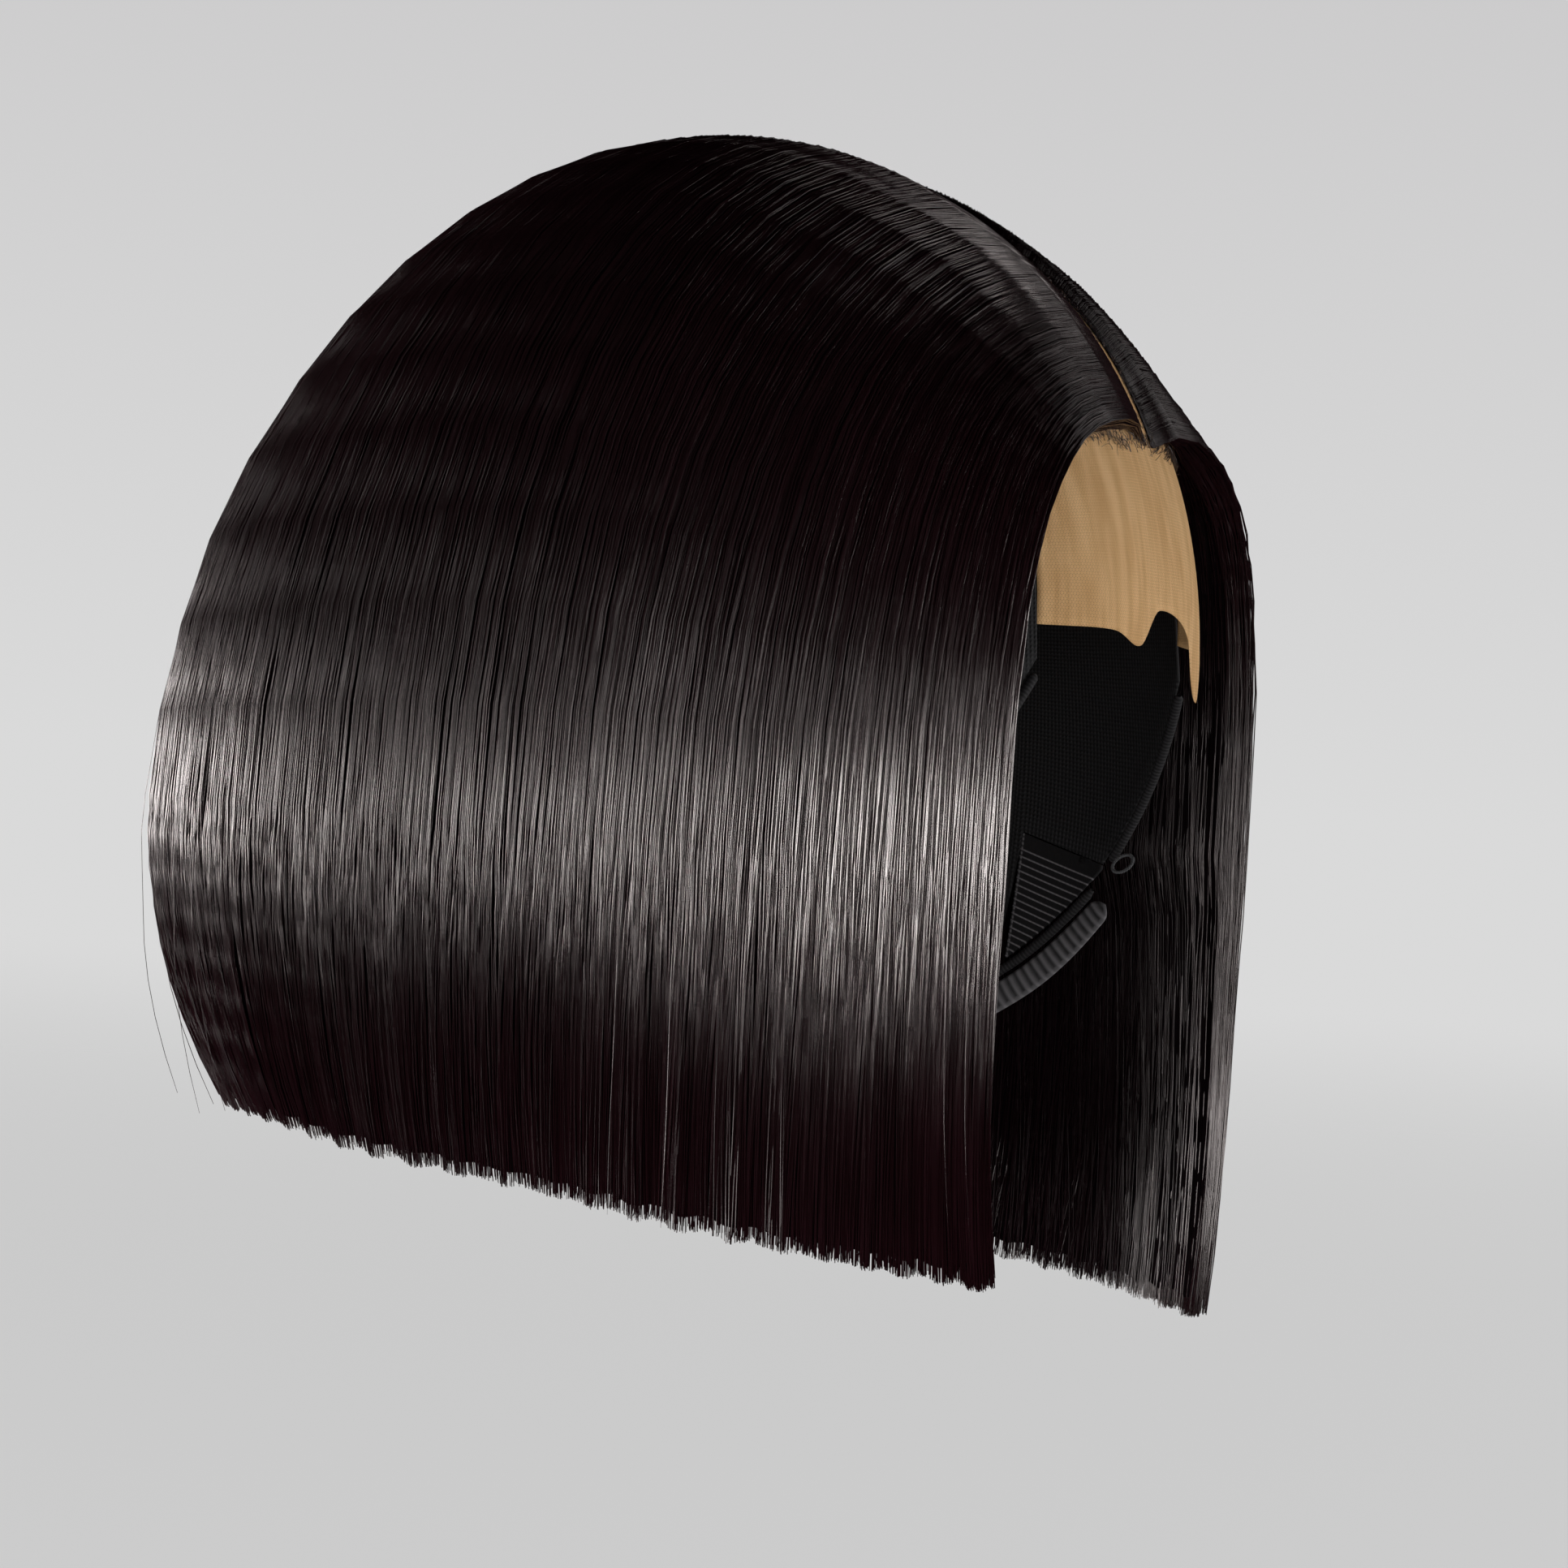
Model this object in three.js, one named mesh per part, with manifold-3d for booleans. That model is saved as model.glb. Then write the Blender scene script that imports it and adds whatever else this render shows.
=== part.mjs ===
// A bob wig with a centre part, held as a head holds it, in millimetres.
// The wearer faces -Y, the wearer's left is +X, and +Z is up. The origin is the crown seat, the highest point
// of the cap's inside, where the head carries the wig.
import * as THREE from "three";
import Module from "manifold-3d";

const wasm = await Module();
wasm.setup();

// The head that the cap fits.
const headHalfWidth = 78;
const headHalfLength = 99.5;
const crownHeight = 100;
const sideDepth = 220;
const napeDepth = 160;
const sectionFullness = 2.6;
const profileFullness = 2.15;

// Cap fabric, lace and the clearance between pieces.
const capWall = 1.2;
const laceWall = 0.8;
const clearance = 0.35;
const hairSeat = 1.0;

// Lace closure.
const closureHalfWidth = 51;
const closureBackAngle = 11;
const hairlineAngle = 66;
const flapLength = 43;
const flapStandOff = 1.6;
const flapLeastStand = 0.6;
const flapWaveTurns = 9;
const cutEndAngle = 110;
const cutReach = 20;

// Cap edge.
const templeAngle = 29;
const templeDrop = 103;
const earTabAngle = 48;
const earTabDrop = 149.5;
const gussetSeamAngle = 61.3;
const gussetHemRise = 5;
const napeDrop = 192;
const faceFlare = 7;
const flareStartDrop = 85;
const flareEndAngle = 76;
const fineColumnsEndAngle = 94;

// Edge cord, elastic and ear loop.
const cordRadius = 1.2;
const cordStartAngle = 3.2;
const cordEndAngle = 2;
const napeCordGap = 2 * clearance;
const strapGap = 4 * clearance;
const strapWidth = 6;
const strapThickness = 1.8;
const strapEndAngle = 82;
const gatherPitch = 2.4;
const gatherDepth = 0.4;
const loopRadius = 1.7;
const loopThread = 0.5;
const loopStretch = 1.7;
const loopTilt = 35;
const loopSplay = 45;
const loopSeatShare = 0.75;
const loopBackAngle = 1.2;

// Hair.
const hairHalfWidth = 98;
const hairFrontReach = 98;
const hairBackReach = 147;
const hairFullness = 2.25;
const shoulderDrop = 150;
const frontCutDrop = 241;
const backCutDrop = 221;
const leftExtraDrop = 20;
const leftExtraPower = 1.6;
const turnInPower = 2.2;
const partEndAngle = 8;
const rootSetBack = 1.5;
const partHalfWidth = 1.2;
const crownWhorlRadius = 1.5;
const fanStartAlong = 0.5;
const fanBlendAlong = 0.25;
const whorlStartAlong = 0.54;
const frontRise = 6;
const crownRise = 11;
const partDip = 2.5;
const leastWall = 1.9;
const ridgeReach = 13;
const bodyThickness = 17;
const edgeThickness = 7;
const edgeAlong = 0.16;
const tipThickness = 3.2;
const lockPitch = 15;
const lockDepth = 1.3;
const lockFringe = 3.5;
const lockUnevenness = 0.25;
const lockUnevenTurns = 23;
const backSeamAlong = 0.62;
const archShare = 0.62;
const hairRows = 17;

const DEGREE = Math.PI / 180;
const headCentreZ = -crownHeight;
const smooth = (share) => THREE.MathUtils.smoothstep(share, 0, 1);

// Footprint of the hair, from the front edge to the middle of the back. Root is a share of the part's length.
// Across is a share of the half width. Foot is a share of the front reach where negative, of the back reach
// where positive. Cut is the share of the way from the front cut to the back cut. Full is a share of the
// fullness of the arch over the head. TurnIn is how late the tips turn in, as a share of the turn-in power.
const hairGuides = [
  {
    along: 0.0, root: 0.0, across: 0.915, foot: -0.98,
    tipAcross: 0.81, tipFoot: -0.98, cut: 0.0, full: 1.33, turnIn: 1.6,
  },
  {
    along: 0.18, root: 0.22, across: 0.97, foot: -0.62,
    tipAcross: 0.94, tipFoot: -0.62, cut: 0.2, full: 1.08, turnIn: 1.3,
  },
  {
    along: 0.36, root: 0.5, across: 1.0, foot: -0.1,
    tipAcross: 0.94, tipFoot: -0.1, cut: 0.5, full: 0.98, turnIn: 1.1,
  },
  {
    along: 0.54, root: 0.87, across: 0.96, foot: 0.32,
    tipAcross: 0.89, tipFoot: 0.28, cut: 0.78, full: 0.93, turnIn: 1.0,
  },
  {
    along: 0.72, root: 1.0, across: 0.78, foot: 0.67,
    tipAcross: 0.7, tipFoot: 0.57, cut: 0.98, full: 0.87, turnIn: 1.0,
  },
  {
    along: 0.87, root: 1.0, across: 0.44, foot: 0.9,
    tipAcross: 0.38, tipFoot: 0.755, cut: 1.03, full: 0.84, turnIn: 1.0,
  },
  {
    along: 1.0, root: 1.0, across: 0.0, foot: 1.0,
    tipAcross: 0.0, tipFoot: 0.82, cut: 1.04, full: 0.83, turnIn: 1.0,
  },
];

// The same rows carried past the middle of the back, so that the two sides meet in one smooth curve.
const hairRowsRound = [
  ...hairGuides,
  ...hairGuides
    .slice(-3, -1)
    .reverse()
    .map((row) => ({
      ...row,
      along: 2 - row.along,
      across: -row.across,
      tipAcross: -row.tipAcross,
    })),
];

// Lower edge of the lace flap, across the forehead from the wearer's right to left. Length is a share of the
// flap's length.
const flapEdge = [
  { across: -1.0, length: 1.0 },
  { across: -0.6, length: 0.99 },
  { across: -0.36, length: 1.05 },
  { across: -0.18, length: 0.86 },
  { across: 0.2, length: 0.98 },
  { across: 0.52, length: 1.3 },
  { across: 0.66, length: 1.08 },
  { across: 1.0, length: 0.98 },
];

// Lower edge of the cap from the ear tab to the middle of the nape. Drop is the share of the way from the ear
// tab down to the lowest point of the nape edge.
const napeEdge = [
  { turn: 42, drop: -0.22 },
  { turn: 48, drop: 0.03 },
  { turn: 61.3, drop: 0.6 },
  { turn: 74, drop: 0.93 },
  { turn: 90, drop: 1.0 },
  { turn: 135, drop: 0.93 },
  { turn: 180, drop: 0.8 },
];

// Smooth value of one column of a table, at a place along another column.
function tableValue(rows, key, at, column) {
  let index = 0;
  while (index < rows.length - 2 && rows[index + 1][key] < at) index++;
  const from = rows[index];
  const to = rows[index + 1];
  const before = rows[Math.max(0, index - 1)];
  const after = rows[Math.min(rows.length - 1, index + 2)];
  const span = to[key] - from[key];
  const share = THREE.MathUtils.clamp((at - from[key]) / span, 0, 1);
  const startSlope = ((to[column] - before[column]) / (to[key] - before[key])) * span;
  const endSlope = ((after[column] - from[column]) / (after[key] - from[key])) * span;
  const square = share * share;
  const cube = square * share;
  return (
    (2 * cube - 3 * square + 1) * from[column] +
    (cube - 2 * square + share) * startSlope +
    (3 * square - 2 * cube) * to[column] +
    (cube - square) * endSlope
  );
}

// Distance from the head's centre to the inside of the cap, along a unit direction.
function capRadius(direction) {
  const width = Math.abs(direction.x / headHalfWidth) ** sectionFullness;
  const length = Math.abs(direction.y / headHalfLength) ** sectionFullness;
  const across = (width + length) ** (1 / sectionFullness);
  const back = Math.max(0, direction.y) ** 2;
  const below = sideDepth + (napeDepth - sideDepth) * back;
  const height = Math.abs(direction.z) / (direction.z > 0 ? crownHeight : below);
  return (across ** profileFullness + height ** profileFullness) ** (-1 / profileFullness);
}

// Unit direction from the head's centre at a turn from the front and an angle down from the crown, in degrees.
function headDirection(turn, fall) {
  const level = Math.sin(fall * DEGREE);
  return new THREE.Vector3(
    level * Math.sin(turn * DEGREE),
    -level * Math.cos(turn * DEGREE),
    Math.cos(fall * DEGREE),
  );
}

// Point on the cap's inside, moved out by an offset, along a direction from the head's centre.
function capPoint(direction, offset) {
  const point = direction.clone().multiplyScalar(capRadius(direction) + offset);
  point.z += headCentreZ;
  return point;
}

// Fall, in degrees, at which the cap's inside is a given drop below the crown, at a turn from the front.
function fallAtDrop(turn, drop) {
  let low = 0;
  let high = 175;
  for (let step = 0; step < 40; step++) {
    const middle = (low + high) / 2;
    if (capPoint(headDirection(turn, middle), 0).z > -drop) low = middle;
    else high = middle;
  }
  return (low + high) / 2;
}

// Drop of the cap's lower edge at a turn from the front.
function napeEdgeDrop(turn) {
  return earTabDrop + (napeDrop - earTabDrop) * tableValue(napeEdge, "turn", turn, "drop");
}

// Drop of the stretch fabric's edge: the face edge, the hem over the gusset, then the nape edge.
function fabricEdgeDrop(turn) {
  if (turn > gussetSeamAngle) return napeEdgeDrop(turn);
  const faceShare = Math.min(1, (turn - templeAngle) / (earTabAngle - templeAngle));
  const hemShare = Math.max(0, (turn - earTabAngle) / (gussetSeamAngle - earTabAngle));
  return templeDrop + (earTabDrop - templeDrop) * faceShare - gussetHemRise * hemShare;
}

// How far the cap's face edge stands away from the head, at a turn from the front and a drop.
function flare(turn, drop) {
  const low = smooth((drop - flareStartDrop) / (earTabDrop - flareStartDrop));
  return faceFlare * low * smooth((flareEndAngle - turn) / (flareEndAngle - earTabAngle));
}

// Point on the fabric's inside at a signed turn and a drop, moved out by an offset.
function fabricPoint(signedTurn, drop, offset) {
  const turn = Math.abs(signedTurn);
  const direction = headDirection(signedTurn, fallAtDrop(turn, drop));
  return capPoint(direction, offset + flare(turn, drop));
}

// Closed solid from a list of points and of faces, with equal points merged and collapsed faces left out.
function closedGeometry(points, faces) {
  const places = new Map();
  const merged = [];
  const indexOf = points.map((point) => {
    const place = point.toArray().map((value) => value.toFixed(4)).join(" ");
    if (!places.has(place)) {
      places.set(place, merged.length);
      merged.push(point);
    }
    return places.get(place);
  });
  const kept = faces
    .map((face) => face.map((corner) => indexOf[corner]))
    .filter(([a, b, c]) => a !== b && b !== c && a !== c);
  const volume = kept.reduce((sum, [a, b, c]) => {
    const across = merged[b].clone().cross(merged[c]);
    return sum + merged[a].dot(across);
  }, 0);
  const outward = volume > 0 ? kept : kept.map(([a, b, c]) => [a, c, b]);
  const geometry = new THREE.BufferGeometry();
  geometry.setAttribute(
    "position",
    new THREE.Float32BufferAttribute(merged.flatMap((point) => point.toArray()), 3),
  );
  geometry.setIndex(outward.flat());
  geometry.computeVertexNormals();
  return geometry;
}

// Wall between an outer and an inner surface. Each surface gives the point at a column value and a row share.
// A closed wall runs all the way round, so its last column joins its first.
function wallGeometry(outer, inner, columns, rows, closed = false) {
  const points = [];
  const layer = columns.length * (rows + 1);
  for (const surface of [outer, inner])
    for (let row = 0; row <= rows; row++)
      for (const column of columns) points.push(surface(column, row / rows));
  const at = (side, row, column) => side * layer + row * columns.length + (column % columns.length);
  const faces = [];
  const quad = (a, b, c, d) => faces.push([a, b, c], [a, c, d]);
  const lastColumn = closed ? columns.length : columns.length - 1;
  for (let column = 0; column < lastColumn; column++) {
    for (let row = 0; row < rows; row++) {
      quad(at(0, row, column), at(0, row + 1, column), at(0, row + 1, column + 1), at(0, row, column + 1));
      quad(at(1, row, column), at(1, row, column + 1), at(1, row + 1, column + 1), at(1, row + 1, column));
    }
    quad(at(0, 0, column), at(0, 0, column + 1), at(1, 0, column + 1), at(1, 0, column));
    quad(at(0, rows, column), at(1, rows, column), at(1, rows, column + 1), at(0, rows, column + 1));
  }
  if (!closed)
    for (let row = 0; row < rows; row++) {
      quad(at(0, row, 0), at(1, row, 0), at(1, row + 1, 0), at(0, row + 1, 0));
      quad(
        at(0, row, lastColumn),
        at(0, row + 1, lastColumn),
        at(1, row + 1, lastColumn),
        at(1, row, lastColumn),
      );
    }
  return closedGeometry(points, faces);
}

// Solid lofted through rings of points, with flat fans at its ends.
function loftGeometry(rings) {
  const count = rings[0].length;
  const points = rings.flat();
  const faces = [];
  for (let ring = 0; ring < rings.length - 1; ring++)
    for (let side = 0; side < count; side++) {
      const next = (side + 1) % count;
      const here = ring * count;
      const there = here + count;
      faces.push([here + side, here + next, there + next], [here + side, there + next, there + side]);
    }
  const last = points.length - count;
  for (let side = 1; side < count - 1; side++) {
    faces.push([0, side + 1, side], [last, last + side, last + side + 1]);
  }
  return closedGeometry(points, faces);
}

// Evenly spaced numbers from one value to another, both included.
function evenSteps(from, to, count) {
  return Array.from({ length: count + 1 }, (_, step) => from + ((to - from) * step) / count);
}

// Solid for joins and cuts, from a closed geometry.
function solidOf(geometry) {
  return new wasm.Manifold(
    new wasm.Mesh({
      numProp: 3,
      vertProperties: new Float32Array(geometry.attributes.position.array),
      triVerts: new Uint32Array(geometry.index.array),
    }),
  );
}

// Geometry from a joined or cut solid.
function geometryOf(solid) {
  const mesh = solid.getMesh();
  const geometry = new THREE.BufferGeometry();
  geometry.setAttribute("position", new THREE.Float32BufferAttribute(mesh.vertProperties, 3));
  geometry.setIndex([...mesh.triVerts]);
  geometry.computeVertexNormals();
  return geometry;
}

// Direction in the lace closure's own grid: an angle to the side, and a fall from the crown to the front.
function closureDirection(sideAngle, fall) {
  return new THREE.Vector3(
    Math.sin(sideAngle * DEGREE),
    -Math.cos(sideAngle * DEGREE) * Math.sin(fall * DEGREE),
    Math.cos(sideAngle * DEGREE) * Math.cos(fall * DEGREE),
  );
}

// Half the closure's width as an angle at the head's centre.
const closureHalfAngle = Math.asin(closureHalfWidth / headHalfLength) / DEGREE;
const clearanceAngle = clearance / headHalfLength / DEGREE;
const lineAngle = (length) => length / headHalfLength / DEGREE;

// Lace closure: a panel over the top front of the head, and its flap, which hangs clear of the forehead.
function laceClosureGeometry() {
  const surface = (offset) => (across, share) => {
    const length = flapLength * tableValue(flapEdge, "across", across, "length");
    const end = hairlineAngle + lineAngle(length);
    const fall = closureBackAngle + (end - closureBackAngle) * share;
    const past = Math.max(0, fall - hairlineAngle) / lineAngle(flapLength);
    const wave = Math.sin(across * flapWaveTurns + past);
    const standOff = flapStandOff * past * (1 + (1 - flapLeastStand) * wave);
    return capPoint(closureDirection(across * closureHalfAngle, fall), offset + standOff);
  };
  const columns = evenSteps(-1, 1, 22);
  return wallGeometry(surface(laceWall), surface(0), columns, 15);
}

// Block that clears the cap's fabric for the closure, with a clearance on its three sewn sides.
function closureCutGeometry() {
  const half = closureHalfAngle + clearanceAngle;
  const surface = (offset) => (across, share) => {
    const start = closureBackAngle - clearanceAngle;
    const fall = start + (cutEndAngle - start) * share;
    return capPoint(closureDirection(across * half, fall), offset);
  };
  return wallGeometry(surface(cutReach), surface(-cutReach), evenSteps(-1, 1, 12), 12);
}

// Cap fabric, from the crown to its edge, with the closure's place cut out.
function capDomeGeometry() {
  const half = [
    ...evenSteps(12, earTabAngle, 6),
    ...evenSteps(earTabAngle + 5, gussetSeamAngle, 2),
    gussetSeamAngle + clearanceAngle / 2,
    ...evenSteps(gussetSeamAngle + 3, fineColumnsEndAngle, 7),
    ...evenSteps(fineColumnsEndAngle + 9, 180, 10),
  ];
  const rightHalf = half.slice(0, -1).map((turn) => -turn).reverse();
  const surface = (offset) => (signedTurn, share) => {
    const turn = Math.abs(signedTurn);
    const fall = fallAtDrop(turn, fabricEdgeDrop(turn)) * share;
    const direction = headDirection(signedTurn, fall);
    const drop = -capPoint(direction, 0).z;
    return capPoint(direction, offset + flare(turn, drop));
  };
  const dome = wallGeometry(surface(capWall), surface(0), [...half, ...rightHalf], 9, true);
  return geometryOf(solidOf(dome).subtract(solidOf(closureCutGeometry())));
}

// Striped elastic gusset between the hem of the fabric and the nape edge, on one side.
function earPanelGeometry(side) {
  const surface = (offset) => (turn, share) => {
    const top = fabricEdgeDrop(turn) + clearance;
    const drop = top + (napeEdgeDrop(turn) - top) * share;
    return fabricPoint(side * turn, drop, offset);
  };
  const end = gussetSeamAngle - clearanceAngle;
  return wallGeometry(surface(capWall), surface(0), evenSteps(earTabAngle, end, 8), 5);
}

// Points along an edge of the cap, moved away from it across the cap's surface and out from the head.
function edgeRoute(side, turns, dropAt, away, offset) {
  const arc = (headHalfWidth + headHalfLength) / 2;
  return turns.map((turn) => {
    const step = 0.5;
    const rise = dropAt(turn + step) - dropAt(turn - step);
    const run = 2 * step * DEGREE * arc;
    const length = Math.hypot(rise, run);
    const movedTurn = turn - (rise / length) * (away / arc / DEGREE);
    const movedDrop = dropAt(turn) + (run / length) * away;
    return fabricPoint(side * movedTurn, movedDrop, offset);
  });
}

// Round cord along a route.
function cordGeometry(route, steps, sides = 6) {
  const section = new THREE.Shape(
    evenSteps(0, 2 * Math.PI, sides)
      .slice(0, sides)
      .map((angle) => new THREE.Vector2(cordRadius * Math.cos(angle), cordRadius * Math.sin(angle))),
  );
  return new THREE.ExtrudeGeometry(section, {
    steps,
    bevelEnabled: false,
    extrudePath: new THREE.CatmullRomCurve3(route),
  });
}

// Cord sewn along the face edge, from the lace corner to the ear tab.
function faceBindingGeometry(side) {
  const turns = evenSteps(templeAngle + cordStartAngle, earTabAngle - cordEndAngle / 3, 6);
  const route = edgeRoute(side, turns, fabricEdgeDrop, cordRadius + clearance, capWall / 2);
  return cordGeometry(route, 12);
}

// Cord sewn along the nape edge, from ear tab to ear tab.
function napeBindingGeometry() {
  const turns = evenSteps(earTabAngle + cordEndAngle, 180, 20);
  const away = cordRadius + napeCordGap;
  const left = edgeRoute(1, turns, napeEdgeDrop, away, capWall / 2);
  const right = edgeRoute(-1, turns.slice(0, -1), napeEdgeDrop, away, capWall / 2);
  return cordGeometry([...left, ...right.reverse()], 60);
}

// Gathered elastic below the nape cord, from the ear tab back under the side.
function elasticStrapGeometry(side) {
  const away = 2 * cordRadius + strapGap;
  const arc = (headHalfWidth + headHalfLength) / 2;
  const length = (strapEndAngle - earTabAngle) * DEGREE * arc;
  const count = 2 * Math.round(length / gatherPitch);
  const turns = evenSteps(earTabAngle + cordEndAngle, strapEndAngle, count);
  const line = (reach, offset) => edgeRoute(side, turns, napeEdgeDrop, away + reach, offset);
  const gather = (index) => (index % 2 ? gatherDepth : 0);
  const corners = [
    line(0, 0),
    line(0, strapThickness),
    line(strapWidth, strapThickness),
    line(strapWidth, 0),
  ];
  const outward = (point, sign) => {
    const flat = new THREE.Vector3(point.x, point.y, 0).normalize();
    return flat.multiplyScalar(sign);
  };
  const signs = [-1, 1, 1, -1];
  const rings = turns.map((_, index) =>
    corners.map((corner, place) => {
      const point = corner[index].clone();
      return point.add(outward(point, signs[place] * (gather(index) - gatherDepth)));
    }),
  );
  return loftGeometry(rings);
}

// Oval thread loop that stands forward and out from the ear tab, in line with the cords' ends.
function earLoopGeometry(side) {
  const reach = 2 * cordRadius + clearance + loopRadius * loopStretch * loopSeatShare;
  const [seat] = edgeRoute(side, [earTabAngle - loopBackAngle], fabricEdgeDrop, reach, capWall / 2);
  const outward = new THREE.Vector3(seat.x, seat.y, 0).normalize();
  const forward = new THREE.Vector3(0, 0, 1).cross(outward).multiplyScalar(-side);
  const tilt = loopTilt * DEGREE;
  const splay = loopSplay * DEGREE;
  const away = forward.multiplyScalar(Math.cos(splay)).addScaledVector(outward, Math.sin(splay));
  const long = away.clone().multiplyScalar(Math.cos(tilt)).add(new THREE.Vector3(0, 0, Math.sin(tilt)));
  const facing = new THREE.Vector3(0, 0, 1).cross(away);
  const short = facing.clone().cross(long);
  const loop = new THREE.TorusGeometry(loopRadius, loopThread, 6, 14);
  loop.scale(loopStretch, 1, 1);
  loop.applyMatrix4(new THREE.Matrix4().makeBasis(long, short, facing).setPosition(seat));
  return loop;
}

// What the hair does at one place along its footprint, on one side of the part.
function hairGuide(along) {
  const value = (column) => tableValue(hairRowsRound, "along", along, column);
  const reach = (share) => share * (share < 0 ? hairFrontReach : hairBackReach);
  const rootShare = Math.min(1, value("root"));
  const rootFall = hairlineAngle - rootSetBack;
  const rise = frontRise + (crownRise - frontRise) * smooth(rootShare);
  const root = capPoint(closureDirection(0, rootFall - (rootFall + partEndAngle) * rootShare), rise);
  const fan = smooth((along - fanStartAlong) / fanBlendAlong);
  const fanAngle = Math.PI * Math.max(0, (along - whorlStartAlong) / (1 - whorlStartAlong));
  return {
    rootX: partHalfWidth + (crownWhorlRadius * Math.sin(fanAngle) - partHalfWidth) * fan,
    rootY: root.y - crownWhorlRadius * Math.cos(fanAngle) * fan,
    topZ: root.z,
    footX: hairHalfWidth * value("across"),
    footY: reach(value("foot")),
    tipX: hairHalfWidth * value("tipAcross"),
    tipY: reach(value("tipFoot")),
    dip: partDip * (1 - fan),
    cutZ: -frontCutDrop + (frontCutDrop - backCutDrop) * value("cut"),
    fullness: hairFullness * value("full"),
    turnIn: turnInPower * value("turnIn"),
  };
}

// Relief of the locks at a place along the footprint: 0 in a valley, 1 on a crest.
function lockCrest(along) {
  const count = Math.round((2 * hairBackReach + hairFrontReach) / lockPitch);
  const wave = 0.5 - 0.5 * Math.cos(2 * Math.PI * count * along);
  return wave * (1 - lockUnevenness + lockUnevenness * Math.sin(lockUnevenTurns * along + 1));
}

// Outer surface of the hair on one side, from the part (row share 0) to the cut (row share 1), before it is
// held clear of the cap.
function hairForm(side, along, share) {
  const guide = hairGuide(along);
  const crest = lockCrest(along);
  if (share <= archShare) {
    const angle = (share / archShare) * 90 * DEGREE;
    const level = Math.sin(angle) ** (2 / guide.fullness);
    const height = Math.max(0, Math.cos(angle)) ** (2 / guide.fullness);
    const x = guide.rootX + (guide.footX - guide.rootX) * level;
    const y = guide.rootY + (guide.footY - guide.rootY) * level;
    const travelled = Math.hypot(x - guide.rootX, y - guide.rootY);
    const dip = guide.dip * (1 - smooth(travelled / ridgeReach));
    const z = -shoulderDrop + (guide.topZ + shoulderDrop) * height - dip;
    return new THREE.Vector3(side * x, y, z);
  }
  const down = (share - archShare) / (1 - archShare);
  const turnIn = down ** guide.turnIn;
  const x = guide.footX + (guide.tipX - guide.footX) * turnIn;
  const y = guide.footY + (guide.tipY - guide.footY) * turnIn;
  const extra = side > 0 ? leftExtraDrop * (1 - along ** leftExtraPower) : 0;
  const fringe = lockFringe * (crest - 0.5);
  const cut = guide.cutZ - extra - fringe;
  const point = new THREE.Vector3(side * x, y, -shoulderDrop + (cut + shoulderDrop) * down);
  const inward = new THREE.Vector3(-point.x, -point.y, 0).normalize();
  return point.addScaledVector(inward, lockDepth * (1 - crest) * smooth(2 * down));
}

// Where a point of the hair lies from the head: the centre that it is measured from, which is on the head's
// axis below the head's centre, the direction, the distance, and the distance at which the cap's seat lies.
function fromHead(point) {
  const centre = new THREE.Vector3(0, 0, Math.min(point.z, headCentreZ));
  const direction = point.clone().sub(centre);
  const distance = direction.length();
  direction.normalize();
  return { centre, direction, distance, seat: seatReach(point, direction) };
}

// Distance from the head's axis, or centre above it, to the innermost place of the hair over the cap.
function seatReach(point, direction) {
  const turn = Math.abs(Math.atan2(point.x, -point.y)) / DEGREE;
  if (point.z > headCentreZ) return capRadius(direction) + flare(turn, -point.z) + capWall + hairSeat;
  if (-point.z > napeDrop + 3 * cordRadius) return 0;
  const wall = fabricPoint(turn, -point.z, capWall + hairSeat);
  return Math.hypot(wall.x, wall.y);
}

// Outer surface of the hair on one side.
function hairOuter(side, along, share) {
  const point = hairForm(side, along, share);
  const { centre, direction, distance, seat } = fromHead(point);
  return centre.addScaledVector(direction, Math.max(distance, seat + leastWall));
}

// Inner surface of the hair on one side: it lies on the cap where it can, and hangs free below.
function hairInner(side, along, share) {
  const { centre, direction, distance, seat } = fromHead(hairOuter(side, along, share));
  const down = Math.max(0, (share - archShare) / (1 - archShare));
  const body = edgeThickness + (bodyThickness - edgeThickness) * smooth(along / edgeAlong);
  const thickness = body + (tipThickness - body) * Math.sqrt(down);
  return centre.addScaledVector(direction, Math.max(distance - thickness, seat));
}

// Hair that falls from the part over one side of the head.
function sideHairGeometry(side) {
  const columns = evenSteps(0, backSeamAlong, 30);
  const outer = (along, share) => hairOuter(side, along, share);
  const inner = (along, share) => hairInner(side, along, share);
  return wallGeometry(outer, inner, columns, hairRows);
}

// Hair that falls from the crown over the back. Its columns run from the right seam round to the left one.
function backHairGeometry() {
  const start = backSeamAlong + (2 * clearance) / (hairBackReach + hairHalfWidth);
  const columns = evenSteps(start - 1, 1 - start, 36);
  const place = (column) => [column < 0 ? -1 : 1, 1 - Math.abs(column)];
  const setBack = (point, share) => point.setY(point.y + clearance * (1 - share));
  const outer = (column, share) => setBack(hairOuter(...place(column), share), share);
  const inner = (column, share) => setBack(hairInner(...place(column), share), share);
  return wallGeometry(outer, inner, columns, hairRows);
}

// Finishes.
const hairFinish = { color: 0x1a1214, roughness: 0.38, metalness: 0 };
const laceFinish = { color: 0xa9917c, roughness: 0.85, metalness: 0 };
const meshFinish = { color: 0x141214, roughness: 0.9, metalness: 0 };
const elasticFinish = { color: 0x1b191c, roughness: 0.8, metalness: 0 };
const cordFinish = { color: 0x0d0c0e, roughness: 0.75, metalness: 0 };

// Named mesh of one piece.
function piece(name, geometry, finish) {
  const mesh = new THREE.Mesh(geometry, new THREE.MeshStandardMaterial(finish));
  mesh.name = name;
  return mesh;
}

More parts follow.
